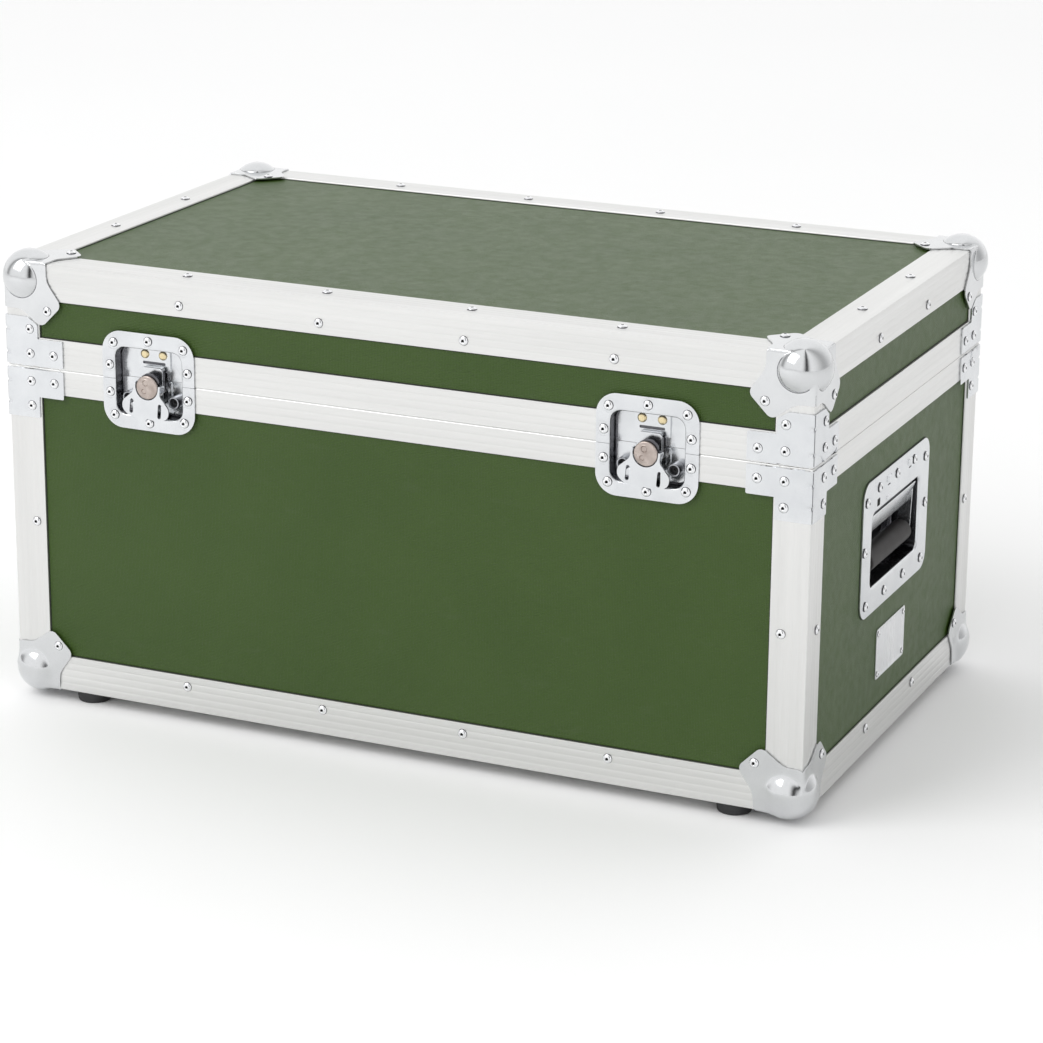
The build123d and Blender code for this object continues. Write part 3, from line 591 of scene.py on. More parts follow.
def angle_run(shape, place, length, starts, ends):
    # The two beads take the second material, painted shade.
    for slot, section in enumerate((ANGLE, BEAD, BEAD_TURNED)):
        run(shape, section, place, length, starts, ends, min(slot, 1))


def edges(half, arris_z, up):
    """The long, short and upright extrusions of the base or the lid."""
    long_edges, short_edges, post_group = Shape(), Shape(), Shape()
    band = base_rim_band if half == "base" else lid_rim_band
    for end in ENDS:
        place = along((-half_w, end * half_d, arris_z), (0, -end, 0), (0, 0, up), (1, 0, 0))
        angle_run(long_edges, place, 2 * half_w, corner_cut, corner_cut)
        place = along((end * half_w, -half_d, arris_z), (-end, 0, 0), (0, 0, up), (0, 1, 0))
        angle_run(short_edges, place, 2 * half_d, corner_cut, corner_cut)
    for sx, sy, _ in CORNERS:
        place = along((sx * half_w, sy * half_d, arris_z), (-sx, 0, 0), (0, -sy, 0), (0, 0, up))
        length = abs(arris_z - parting_z) - band - post_play
        angle_run(post_group, place, length, corner_cut, square_cut)
    groups = (("edges_long", long_edges, "x"), ("edges_short", short_edges, "y"), ("posts", post_group, "z"))
    for kind, shape, axis in groups:
        dress(f"{half}_{kind}", "fluted", shape, [EXTRUSION[axis], SHADE_LINE], half, "extrusion")


edges("base", floor_z, 1)
edges("lid", top_z, -1)

tongue_in, tongue_out, tongue_height = 4.5, 6.5, 3.0
groove_in, groove_out, groove_roof = 3.9, 7.1, 3.9
rim_back = inner_start + inner_wall
rim_lip = 0.4


def rim_face(band, count):
    """Fluted face of a rim from its panel side to the parting line, as (depth, distance)."""
    face = [(0.0, band - tip_round), *[(d, a) for a, d in fluted(rim_lip * 3, band - tip_round, count)[::-1]]]
    return [(edge_wall, band), (tip_round * 0.3, band), *face, (0.0, rim_lip * 3), (rim_lip * 0.3, rim_lip)]


def base_rim():
    face = [(a, -b) for a, b in rim_face(base_rim_band, 3)]
    back = [(rim_lip, 0), (tongue_in, 0), (tongue_in + 0.3, tongue_height), (tongue_out - 0.3, tongue_height)]
    back += [(tongue_out, 0), (rim_back, 0), (rim_back, -16), (inner_start, -16)]
    return face + back + [(inner_start, -inner_wall), (edge_wall, -inner_wall)]


def lid_rim():
    gap = parting_gap
    face = [(a, b + gap) for a, b in rim_face(lid_rim_band - gap, 4)]
    back = [(rim_lip, gap), (groove_in, gap), (groove_in, groove_roof), (groove_out, groove_roof)]
    back += [(groove_out, gap), (rim_back, gap)]
    return face + back + [(rim_back, 20), (inner_start, 20), (inner_start, 5.5), (edge_wall, 5.5)]


# The front rims stop this far to each side of a latch's middle.
latch_gap = 36.6
# Each rim carries a dark bead of painted shade along its panel edge.
rims = {
    "base": (base_rim(), [(b, -a) for a, b in strip(base_rim_band - 0.5, base_rim_band + bead_width)]),
    "lid": (lid_rim(), [(b, a) for a, b in strip(lid_rim_band - 0.5, lid_rim_band + bead_width)]),
}
for half, (section, bead) in rims.items():
    for sy in ENDS:
        shape = Shape()
        spans = [(-half_w, half_w)]
        if sy < 0:
            near, far = latch_x - latch_gap, latch_x + latch_gap
            spans = [(-half_w, -far), (-near, near), (far, half_w)]
        for low, high in spans:
            place = along((low, sy * half_d, parting_z), (0, -sy, 0), (0, 0, 1), (1, 0, 0))
            starts = rim_cut if low == -half_w else square_cut
            ends = rim_cut if high == half_w else square_cut
            run(shape, section, place, high - low, starts, ends)
            run(shape, bead, place, high - low, starts, ends, 1)
        dress(f"{half}_rim_{DEPTH[sy]}", "fluted", shape, [EXTRUSION["x"], SHADE_LINE], half, "extrusion")
    shape = Shape()
    for sx in ENDS:
        place = along((sx * half_w, -half_d, parting_z), (-sx, 0, 0), (0, 0, 1), (0, 1, 0))
        run(shape, section, place, 2 * half_d, rim_cut, rim_cut)
        run(shape, bead, place, 2 * half_d, rim_cut, rim_cut, 1)
    dress(f"{half}_rims_side", "fluted", shape, [EXTRUSION["y"], SHADE_LINE], half, "extrusion")


# ---------------------------------------------------------------- panels keep their CAD shape
def paint(node, finish):
    """Give a CAD node that stays in view its material."""
    slots = frame["nodes"][node].data.materials
    slots.clear()
    slots.append(finish)


for node in frame["nodes"]:
    if node.endswith("_panel"):
        paint(node, LAMINATE)


# ---------------------------------------------------------------- ball corners
ball_radius = 25.5
ball_inset = 16.5
ball_leg = 44.6
ball_bay = 16.5
ball_lobe_far = 60.5
ball_lobe_near = 38.5
lobe_round = 7.0
bay_round = 18.0
crease_rings = (17.78, 18.32)
arris_seam = 0.35
ball_sheet = 1.3
plate_edge = 0.25
# Centre of a ball to the outside of its plates.
plates_out = ball_inset + plate_gap + sheet


def ball_face():
    """One face of a ball corner, its outline and triangles, from the ball's centre."""
    s = plates_out
    leg, bay, far, near = [d - ball_inset for d in (ball_leg, ball_bay, ball_lobe_far, ball_lobe_near)]
    corners = [(-s, -s), (leg, -s), (leg, bay), (far, near), (near, far), (bay, leg), (-s, leg)]
    radii = [0, 0, bay_round, lobe_round, lobe_round, bay_round, 0]
    outline = divide(rounded(corners, radii, 12), 1.5)
    near_arris = [-s + d for d in (arris_seam, 0.8, 1.4, 2.2, 3.4, 5.0)]
    lines = [-s + 1.5 * k for k in range(45)]
    fine = rings([3, 6, 9, 11.5, 13.5, 15, 16, 16.7, 17.3, *crease_rings, 18.9, 19.7, 20.8, 22.2, 23.8])
    coarse = [k * 4.0 for k in range(-4, 12)]
    loose = [p for p in grid(coarse, coarse) if math.hypot(*p) > 25]
    points = [p for p in fine if min(p) > -s + 5.5] + loose
    points += grid(near_arris, lines) + grid(lines, near_arris)
    return region(outline, (), points, 0.3)


def ball_surface(direction, power, blend, crease, seam):
    """Distance of a ball corner's surface from the ball's centre along a direction out of it.

    The plates are a box with rounded arrises; on the corner's own octant the ball takes their place.
    """
    s = plates_out
    out = [max(0.0, -c) for c in direction]
    plates = s / sum(c**power for c in out) ** (1 / power)
    inward = smooth(max(direction) * ball_radius / 4)
    rise = plates - ball_radius
    reach = ball_radius + inward * (rise + math.sqrt(rise * rise + blend * blend)) / 2
    reach -= crease * inward * hump(rise / 0.6)
    ordered = sorted(out)
    arris = (ordered[2] - ordered[1]) * reach
    return reach - seam * hump(arris / 0.5) * smooth(rise / 1.5) * inward


FACE_VERTS, FACE_TRIANGLES = ball_face()


def in_fold(triangle):
    """True for a triangle in the fold round the ball or in the seam on an arris beyond it; these take painted
    shade.
    """
    s = plates_out
    slack = 0.02
    points = [FACE_VERTS[i] for i in triangle]
    round_ball = all(crease_rings[0] - slack < p.length < crease_rings[1] + slack for p in points)
    on_arris = all(min(p) < -s + arris_seam + slack and max(p) > crease_rings[0] for p in points)
    return on_arris or (round_ball and max(max(p) for p in points) > 1.0)


def ball_corner(shape, corner, inward, power, blend, crease, seam):
    """Add one ball corner; inward holds the signs of the directions into the case."""
    s = plates_out
    place = along(corner, (inward[0], 0, 0), (0, inward[1], 0), (0, 0, inward[2]))
    for turn in range(3):
        verts = []
        for p, q in FACE_VERTS:
            spot = (p, q, -s)
            direction = Vector((spot[-turn % 3], spot[(1 - turn) % 3], spot[(2 - turn) % 3])).normalized()
            reach = ball_surface(direction, power, blend, crease, seam)
            verts.append(direction * reach + Vector((ball_inset,) * 3))
        # Triangles in the fold and seam take the second material, painted shade.
        for slot in (0, 1):
            faces = [f[::-1] for f in FACE_TRIANGLES if (crease > 0 and in_fold(f)) == bool(slot)]
            shape.add(verts, faces, place, slot)


# Power, blend, crease and seam: the base's corners are drawn softly, the lid's have sharp folds.
ball_kinds = (("base", floor_z, 1, (8, 3.0, 0.0, 0.0)), ("lid", top_z, -1, (18, 0.8, 0.45, 0.35)))
for half, z, up, kind in ball_kinds:
    for sx, sy, corner in CORNERS:
        shape = Shape()
        ball_corner(shape, (sx * half_w, sy * half_d, z), (-sx, -sy, up), *kind)
        nodes = [f"{half}_ball_corners"] if (sx, sy) == CORNERS[0][:2] else []
        name = f"{half}_ball_corner_{corner}"
        make(name, shape, [BRIGHT, SHADED], half, nodes, "bright_steel", ball_sheet, plate_edge, True)


# ---------------------------------------------------------------- corner braces
brace_reach = 60.0
brace_rise = 48.5
brace_leg = 34.0
brace_arm = 28.0
brace_bevel_wide = 10.0
brace_bevel_high = 7.0
brace_gaps = {"base": 1.6, "lid": 2.2}
brace_sheet = 1.4
bend_radius = 1.9
bend_zone = 2.0
bend_shade_half = 0.45
dart_rows = {"base": (14.3, 34.6), "lid": (13.1, 35.8)}
dart_depth = 1.1
dart_half = 1.2


def brace_point(s, rise, half):
    """Place on the folded brace of a point of its flat outline, with the darts pressed into its arris."""
    start = bend_radius - plate_top
    reach = abs(s)
    if reach < bend_zone:
        turn = math.radians(45) * (1 - reach / bend_zone)
        near = bend_radius * (1 - math.cos(turn)) - plate_top
        far = start - bend_radius * math.sin(turn)
    else:
        near = -plate_top
        far = start + (reach - bend_zone) * (brace_reach - start) / (brace_reach - bend_zone)
    dart = sum(dart_depth * hump((rise - row) / dart_half) for row in dart_rows[half])
    dart *= smooth(1 - reach / 8)
    near, far = near + dart, far + dart * smooth(1 - reach / bend_zone)
    return (far, near) if s > 0 else (near, far)


def brace_outline(half):
    right = [(brace_reach, brace_gaps[half]), (brace_reach, brace_arm), (brace_leg, brace_arm)]
    if half == "lid":
        right += [(brace_leg, brace_rise - brace_bevel_high), (brace_leg - brace_bevel_wide, brace_rise)]
    else:
        right += [(brace_leg, brace_rise)]
    radii = [0.6, 1.5, 1.0, 1.5, 1.5][: len(right)]
    return divide(rounded(mirrored(right), radii + radii[::-1]), 2.0)


def brace(shape, half, sx, sy):
    near_bend = [0.0, bend_shade_half, 0.8, 1.2, 1.6, 2.0, 2.8, 4.0, 5.5, 7.5]
    columns = sorted({u * side for u in near_bend for side in ENDS})
    rows = [brace_gaps[half] + k for k in range(1, 47)]
    verts, faces = region(brace_outline(half), (), grid(columns, rows), 0.3)
    up = -1 if half == "base" else 1
    placed = []
    for s, rise in verts:
        a, b = brace_point(s, rise, half)
        placed.append((sx * (half_w - a), sy * (half_d - b), parting_z + up * rise))
    flip = sx * sy * up < 0
    # Triangles on the bend line take the second material, painted shade.
    for slot in (0, 1):
        kept = [f for f in faces if all(abs(verts[i].x) < bend_shade_half + 0.05 for i in f) == bool(slot)]
        shape.add(placed, [f[::-1] if flip else f for f in kept], slot=slot)


for half in ("base", "lid"):
    for sx, sy, corner in CORNERS:
        shape = Shape()
        brace(shape, half, sx, sy)
        nodes = [f"{half}_corner_braces"] if (sx, sy) == CORNERS[0][:2] else []
        name = f"{half}_corner_brace_{corner}"
        make(name, shape, [ZINC, SHADED], half, nodes, "zinc_steel", brace_sheet, plate_edge, True)


# ---------------------------------------------------------------- rivets, one on each rivet of the CAD nodes
def islands(node):
    """Lowest and highest corner, in millimetres, of each separate solid of a CAD node."""
    work = bmesh.new()
    work.from_mesh(frame["nodes"][node].data)
    bmesh.ops.remove_doubles(work, verts=work.verts, dist=1e-6)
    seen, found = set(), []
    for vert in work.verts:
        if vert in seen:
            continue
        stack, group = [vert], []
        seen.add(vert)
        while stack:
            here = stack.pop()
            group.append(here.co / MM)
            for edge in here.link_edges:
                other = edge.other_vert(here)
                if other not in seen:
                    seen.add(other)
                    stack.append(other)
        low = Vector([min(p[k] for p in group) for k in range(3)])
        high = Vector([max(p[k] for p in group) for k in range(3)])
        found.append((low, high))
    work.free()
    return found


rivet_radius = 5.0
# Profiles of turned pieces are (radius, height) pairs.
rivet_body = [(4.6, 0.0), (4.55, 0.25), (4.35, 0.6), (3.5, 1.4), (2.7, 1.78), (2.0, 1.95), (1.65, 2.0)]
rivet_body += [(1.4, 1.85)]
rivet_well = [(1.4, 1.85), (1.3, 0.5), (0.7, 0.45), (0.35, 0.8)]


def rivet_place(low, high):
    """Matrix that stands a rivet on its CAD solid, its head pointing out of the case."""
    size, centre = high - low, (low + high) / 2
    thin = min(range(3), key=lambda k: size[k])
    heart = Vector((0, 0, (floor_z + top_z) / 2))
    sign = 1 if centre[thin] > heart[thin] else -1
    out = Vector([sign if k == thin else 0 for k in range(3)])
    foot = centre.copy()
    foot[thin] = low[thin] if sign > 0 else high[thin]
    side = Vector([1 if k == (thin + 1) % 3 else 0 for k in range(3)])
    scale = max(size) / (2 * rivet_radius)
    return plane(foot, side, out.cross(side)) @ Matrix.Scale(scale, 4)


def rivets(node, body):
    shape = Shape()
    for low, high in islands(node):
        place = rivet_place(low, high)
        # The rim foot takes the dark zinc of painted shade, and the well the near-black painted shade of the
        # hole.
        shape.lathe(rivet_body[:3], place, 2, 24, True, False)
        shape.lathe(rivet_body[2:], place, 0, 24, False, False)
        shape.lathe(rivet_well, place, 1, 24, False, True)
    dress(node, "domed", shape, [RIVET, HOLE_SHADE, SHADED], body, "rivet_steel")


rivets("base_rivets", "base")
rivets("lid_rivets", "lid")

brass_head = [(4.3, 0.0), (4.3, 0.4), (4.0, 1.0), (3.3, 1.5), (2.3, 1.85), (1.1, 1.98), (0.3, 2.0)]
shape = Shape()
for low, high in islands("keeper_rivets"):
    foot = Vector(((low.x + high.x) / 2, high.y, (low.z + high.z) / 2))
    shape.lathe(brass_head, plane(foot, (1, 0, 0), (0, 0, 1)), count=28)
dress("keeper_rivets", "domed", shape, [BRASS], "lid", "brass_rivet")


# ---------------------------------------------------------------- latches
latch_width = 96.6
latch_rise = 46.3
latch_corner = 20.0
pocket_half = 35.0
pocket_low = -33.0
pocket_high = 31.0
pocket_corner = 10.0
pocket_depth = 11.5
dish_sheet = 1.2
pocket_lip = 1.6
pocket_foot = 2.2
lip_steps = 5
pressed_radius = 5.28
pressed_depth = 0.28
pressed_rings = [4.6, 5.3, 6.0, 6.7, 7.4]


def rings_round(centres, radii, count=20):
    return [p for u, v in centres for r in radii for p in circle(r, count, u, v)]


def pressed_sheet(u, v, centres):
    """Height of a riveted sheet that is drawn down a little round each rivet."""
    near = min(math.hypot(u - a, v - b) for a, b in centres)
    return -pressed_depth * smooth(1 - (near - pressed_radius) / 2.2)


def pocket_outline(half, low, high, corner):
    """Function that gives the outline of a pocket's wall, grown by an amount."""

    def loop_at(grow):
        grown = rectangle(-half - grow, half + grow, low - grow, high + grow, corner + grow, 9)
        return divide(grown, 8.0)

    return loop_at


def pocket(shape, loop_at, depth, lip, foot, place):
    """Pressed pocket in a flange; loop_at gives its outline grown by an amount."""
    turns = [math.radians(90 * k / lip_steps) for k in range(lip_steps + 1)]
    loops = [(loop_at(lip * (1 - math.sin(t))), -lip * (1 - math.cos(t))) for t in turns]
    low = -plate_top - depth
    loops += [(loop_at(-foot * (1 - math.cos(t))), low + foot * (1 - math.sin(t))) for t in turns]
    loops = [[(p.x, p.y, plate_top + h) for p in loop] for loop, h in loops]
    shape.loft(loops[: lip_steps + 1], False, False, place)
    # The pocket's wall and foot take the second material, painted shade.
    shape.loft(loops[lip_steps:], False, False, place, 1)
    shape.flat(loop_at(-foot), (), (), lambda u, v: -depth, place)


latch_rivets = [(36.8, 34.6), (-36.8, 34.6), (0, 39.0), (41.1, 13.0), (-41.1, 13.0)]
latch_rivets += [(u, -v) for u, v in latch_rivets]


def dish(x, side_name):
    """Both halves of a latch dish: riveted flange round a pressed pocket, parted at the lid."""
    place = front_at(x, parting_z)
    loop_at = pocket_outline(pocket_half, pocket_low, pocket_high, pocket_corner)

    def height(u, v):
        return plate_top + pressed_sheet(u, v, latch_rivets)

    rows = range(-46, 48, 4)
    points = rings_round(latch_rivets, pressed_rings) + grid(rows, rows)
    half_width = latch_width / 2
    outline = divide(rectangle(-half_width, half_width, -latch_rise, latch_rise, latch_corner, 7.5), 4.0)
    for half, keep, level, body in (("lower", -1, 0.0, "base"), ("upper", 1, parting_gap, "lid")):
        shape = Shape()
        shape.flat(outline, [loop_at(pocket_lip)], points, height, place)
        pocket(shape, loop_at, pocket_depth, pocket_lip, pocket_foot, place)
        cut = ((0, 0, parting_z + level), (0, 0, keep))
        look = {"thick": dish_sheet, "bevel": 0.3, "shell": True, "cut": cut}
        dress(f"latch_{half}_dish_{side_name}", "pressed", shape, [ZINC, SHADED], body, **look)


def plate(shape, outline, holes, low, high, place=None, slot=0):
    """A flat plate with holes between two heights."""
    shape.flat(outline, holes, (), lambda u, v: high, place, slot)
    verts, faces = region(outline, holes)
    shape.add([(p.x, p.y, low) for p in verts], [f[::-1] for f in faces], place, slot)
    for loop in (outline, *holes):
        heights = (low, high) if loop is outline else (high, low)
        shape.loft([[(p[0], p[1], h) for p in loop] for h in heights], False, False, place, slot)


keeper_back = -pocket_depth + plate_gap
keeper_front = keeper_back + sheet


def keeper(x, side_name):
    place = front_at(x, parting_z)
    shape = Shape()
    slot = rectangle(-12, 12, 14.6, 17.2, 1.2)
    plate(shape, rectangle(-17, 17, 8, 29, 2.0), [slot], keeper_back, keeper_front, place)
    # Dark sheet behind the slot: painted shade seen through it.
    shape.prism(rectangle(-12.6, 12.6, 14.0, 17.8, 1.2), keeper_back, keeper_back + 0.3, place, 1)
    lip = rounded([(-9.6, 8), (9.6, 8), (9.6, 12.5), (-9.6, 12.5)], [0.3, 0.3, 1.8, 1.8])
    shape.prism(lip, keeper_front - 0.4, -7.0, place)
    dress(f"latch_keeper_{side_name}", "pressed", shape, [ZINC, SHADED], "lid", bevel=0.3)


claw_front = -4.0
claw_sheet = 1.4
claw_half = 11.5


def claw(x, side_name):
    """Channel with bent sides and a short return at its top; the cam turns in its window."""
    place = front_at(x, parting_z)
    shape = Shape()
    corners = [(-claw_half, -18), (claw_half, -18), (claw_half, 13), (-claw_half, 13)]
    outline = rounded(corners, [1.0, 1.0, 3.0, 3.0])
    window = rectangle(-9.0, 9.0, -13.0, -1.0, 2.5)
    plate(shape, outline, [window], claw_front - claw_sheet, claw_front, place)
    # The bent sides take the second material, painted shade.
    for side in ENDS:
        wall = rectangle(*sorted((side * (claw_half - claw_sheet), side * claw_half)), -9, 9)
        shape.prism(wall, claw_front - 5.0, claw_front - claw_sheet / 2, place, 1)
    shape.prism(rectangle(-8.5, 8.5, 11.6, 13, 0.3), claw_front - 2.6, claw_front - claw_sheet / 2, place)
    node = f"latch_claw_{side_name}"
    dress(node, "folded", shape, [ZINC, SHADED], node, bevel=0.45)


# Heights of the hub's parts are from the face of the case, outwards.
pin_in = 0.3
crown = 10.3
crown_low = 5.35
crown_high = 5.8
head_dimples = [(-1.6, 4.2, 3.0), (-2.6, -4.0, 2.5)]


def latch_hub(side_name, turned):
    """Foot disc, cam, neck, stepped washer and the domed nickel head with two spanner dimples."""
    shape = Shape()
    shape.lathe([(8.6, -9.9), (9.0, -9.6), (9.0, -6.9), (8.6, -6.6)], turned)
    shape.lathe([(5.0, -6.6), (5.0, -3.6)], turned @ shift(0, -3.0))
    shape.lathe([(6.5, -3.6), (6.5, 3.2)], turned)
    # The stop plate behind the head takes the dark zinc of painted shade.
    stop = [(-8, 0), (8, 0), (11.3, 6.3), (10.6, 9.6), (5.0, 13.3), (-2.0, 13.2), (-7.0, 9.5)]
    shape.prism(rounded(stop, [0.5, 0.5, 1.5, 1.5, 2.0, 2.0, 2.0]), 1.9, 2.9, turned, 2)
    rim = [(10.6, 3.2), (11.2, 3.4), (11.3, 3.9), (11.2, 4.5), (10.9, 5.0), (crown, crown_low)]
    shape.lathe(rim, turned, 1, 56, True, False)

    def height(u, v):
        rise = crown_low + (crown_high - crown_low) * smooth((crown - math.hypot(u, v)) / 4.0)
        for a, b, r in head_dimples:
            near = math.hypot(u - a, v - b)
            rise -= 0.9 * smooth((r - near) / 0.7) - 0.25 * hump((near - r - 0.4) / 0.45)
        return min(rise, crown_high + 0.2)

    points = rings([9.3, 8.2, 7.0, 5.8, 4.4, 2.8, 1.2], 48)
    for a, b, r in head_dimples:
        points += rings_round([(a, b)], [r - 1.2, r - 0.7, r - 0.35, r, r + 0.4, r + 0.8, r + 1.2], 28)
    shape.flat(circle(crown, 56), (), points, height, turned, 1)
    body = f"latch_hub_{side_name}"
    dress(body, "turned", shape, [STEEL, NICKEL, SHADED], body, bevel=0.2)
    pin = Shape()
    lying = turned @ shift(0, 0, -pin_in) @ Matrix.Rotation(math.radians(90), 4, "Y")
    pin.lathe(both_ends([(1.1, -14.5), (1.5, -14.1)]), lying, count=20)
    dress(f"latch_pin_{side_name}", "turned", pin, [STEEL], body)


wing_back = 3.85
wing_sheet = 1.5
wing_notch = 11.9
wing_neck = 13.8
wing_ear_rise = 3.4
wing_slot = 1.8
ear_x = 14.8


def wing(side_name, turned):
    """Bell-shaped wing notched round the hub's head, with two slots and two ears on the pin."""
    right = [(17, -30), (24.5, -24.5), (24.5, -16.5), (wing_neck, -6)]
    right += [(wing_neck, wing_ear_rise), (wing_notch, wing_ear_rise)]
    radii = [8.0, 7.6, 8.0, 8.0, 0.9, 0.6]
    notch = arc(wing_notch, 0, -180, 30)
    corners = right + notch + mirrored(right)[len(right) :]
    outline = rounded(corners, radii + [0] * len(notch) + radii[::-1], 9)
    middles = [end * ear_x for end in ENDS]
    slots = [rectangle(m - wing_slot, m + wing_slot, -27.2, -13.2, wing_slot, 20) for m in middles]
    shape = Shape()
    plate(shape, divide(outline, 3.0), slots, wing_back, wing_back + wing_sheet, turned)
    ear = rounded([(-3.4, -3.4), (5.0, -3.4), (5.0, 3.4), (-3.4, 3.4)], [3.39, 0.3, 0.3, 3.39], 12)
    for side in ENDS:
        shape.prism(ear, -0.7, 0.7, turned @ crosswise(side * 13.0, 0, -pin_in))
    node = f"latch_wing_{side_name}"
    dress(node, "bell", shape, [ZINC], node, bevel=0.4)


def base_plates(shape, x):
    """Plate under the hub with the two padlock ears that stand in the wing's slots."""
    place = front_at(x, parting_z)
    shape.prism(rectangle(-17.5, 17.5, pocket_low + 1, -1, 1.5), keeper_back, keeper_front - 0.1, place)
    ear = rounded([(-10.4, -30), (3.4, -30), (3.4, -18.5), (-10.4, -18.5)], [0.3, 2.6, 2.6, 0.3], 12)
    for side in ENDS:
        plate(shape, ear, [circle(2.6, 20, -0.6, -24.2)], -1.0, 1.0, place @ crosswise(side * ear_x))


buffer_cup = [(5.8, -11.4), (5.8, -2.2), (5.5, -1.6), (5.0, -1.45), (4.5, -1.6), (4.1, -2.2), (4.0, -6.5)]
buffer_well = [(4.0, -6.5), (3.2, -6.2), (1.4, -6.0), (1.3, -7.5), (0.6, -7.6)]


def buffers(shape, x):
    for side in ENDS:
        place = front_at(x, parting_z) @ shift(side * 24.0, -17.5)
        shape.lathe(buffer_cup, place, 0, 32, True, False)
        shape.lathe(buffer_well, place, 1, 32, False, True)


plates, cups = Shape(), Shape()
for side, side_name in ACROSS.items():
    x = side * latch_x
    hub_plane = front_at(x, parting_z + hub_z) @ Matrix.Rotation(-rest_turn, 4, "Z")
    dish(x, side_name)
    keeper(x, side_name)
    claw(x, side_name)
    latch_hub(side_name, hub_plane)
    wing(side_name, hub_plane)
    base_plates(plates, x)
    buffers(cups, x)
dress("latch_base_plates", "cut", plates, [ZINC], "base", bevel=0.3)
dress("latch_buffers", "turned", cups, [STEEL, FOOT], "base", "rubber")


# ---------------------------------------------------------------- carrying handles
tray_width = 190.0
tray_rise = 129.0
tray_corner = 16.0
well_half = 68.5
well_low = -40.0
well_high = 31.0
well_corner = 8.0
well_depth = 26.0
well_lip = 2.2
well_foot = 4.0
tray_shade_margin = 0.8
clips = (-25.0, 36.0)
clip_v = 53.5
tab_v = 36.0
bail_half = 62.0
bail_sheet = 1.8
bail_pin = (-7.0, 22.5)
grip_centre = (-11.0, -20.0)
grip_radius = 10.5
handle_rivets = [(84, 46), (-84, 46), (-50, 52), (0, 52), (50, 52), (-87.5, 0), (87.5, 0)]
handle_rivets += [(-80, -53), (-27, -53), (27, -53), (80, -53)]


def tray(side, side_name):
    """Riveted tray with a square hole, a pressed tab and two pressed clips in its upper flange."""
    place = side_at(side, handle_z, panel_in)
    loop_at = pocket_outline(well_half, well_low, well_high, well_corner)

    def height(u, v):
        rise = plate_top + pressed_sheet(u, v, handle_rivets)
        for a in clips:
            rise += 1.3 * smooth((4.6 - abs(u - a)) / 1.2) * smooth((3.6 - abs(v - clip_v)) / 1.0)
        rise += 0.9 * smooth((5.2 - abs(u - clips[0])) / 1.0) * smooth((2.4 - abs(v - tab_v)) / 0.9)
        return rise

    points = rings_round(handle_rivets, pressed_rings) + grid(range(-94, 96, 6), range(-63, 65, 6))
    for a in clips:
        points += grid([a + k * 0.6 for k in range(-10, 11)], [clip_v + k * 0.6 for k in range(-8, 9)])
    points += grid([clips[0] + k * 0.7 for k in range(-9, 10)], [tab_v + k * 0.6 for k in range(-5, 6)])
    square = rectangle(-57.0, -49.0, 35.5, 42.5, 0.6)
    slits = [rectangle(a + 4.9, a + 6.3, 50.0, 57.0, 0.6) for a in clips]
    slits += [rectangle(a - 3.0, a + 4.2, 47.6, 48.8, 0.5) for a in clips]
    half_u, half_v = tray_width / 2, tray_rise / 2
    outline = divide(rectangle(-half_u, half_u, -half_v, half_v, tray_corner, 7.5), 5.0)
    shape = Shape()
    shape.flat(outline, [loop_at(well_lip), square, *slits], points, height, place)
    pocket(shape, loop_at, well_depth, well_lip, well_foot, place)
    # Dark ring under the tray's flange, a little wider than it: painted shade for the shadow line round the
    # tray.
    shade_u, shade_v = half_u + tray_shade_margin, half_v + tray_shade_margin
    ring = rectangle(-shade_u, shade_u, -shade_v, shade_v, tray_corner + tray_shade_margin)
    shade_ring = Shape()
    plate(shade_ring, ring, [loop_at(well_foot)], 0.01, 0.3, place)
    make(f"handle_tray_{side_name}_painted_shade_ring", shade_ring, [SHADE_LINE], "base", [], "rubber")
    look = {"thick": dish_sheet, "bevel": 0.3, "shell": True}
    dress(f"handle_tray_{side_name}", "pressed", shape, [ZINC, SHADED], "base", **look)


def bail(side_name, across):
    """Folded bail with a leaning finger plate, two arms on the pin, the grip and its rod."""
    body = f"carry_handle_{side_name}"
    shape = Shape()
    lean = [(-0.7, 27.4), (-0.5, 26.9), (-5.9, 8.6), (-6.3, 8.0)]
    lean += [(-7.3, 8.1), (-7.6, 8.7), (-2.2, 26.9), (-1.9, 27.4)]
    shape.prism(lean, -bail_half, bail_half, across)
    arm = arc(4.5, 3, 179.9, 24, *bail_pin) + arc(7, 183, 179.9, 24, *grip_centre)
    for low in (-bail_half, bail_half - bail_sheet):
        shape.prism(arm, low, low + bail_sheet, across)
    rod = across @ shift(*grip_centre)
    shape.lathe(both_ends([(4.0, 0.5 - bail_half)]), rod, count=28)
    dress(f"handle_bail_{side_name}", "folded", shape, [ZINC], body, bevel=0.35)
    sleeve = Shape()
    end = [(4.2, -56.0), (9.2, -56.0), (10.1, -55.5), (grip_radius, -54.5)]
    ribs = [(grip_radius - 0.12 * (k % 2), -53 + k * 2.0) for k in range(54)]
    sleeve.lathe(end + ribs + both_ends(end)[len(end) :], rod, count=48)
    dress(f"handle_grip_{side_name}", "sleeve", sleeve, [GRIP], body, "rubber")


def handle_spring(shape, across):
    """Return spring on the pin, one helix of round wire."""
    turns, pitch, radius, steps = 7, 1.0, 2.5, 18
    path = []
    for k in range(turns * steps + 1):
        turn = 2 * math.pi * k / steps
        path.append((radius * math.cos(turn), radius * math.sin(turn), (k / steps - turns / 2) * pitch))
    shape.tube(path, 0.45, across, count=8)


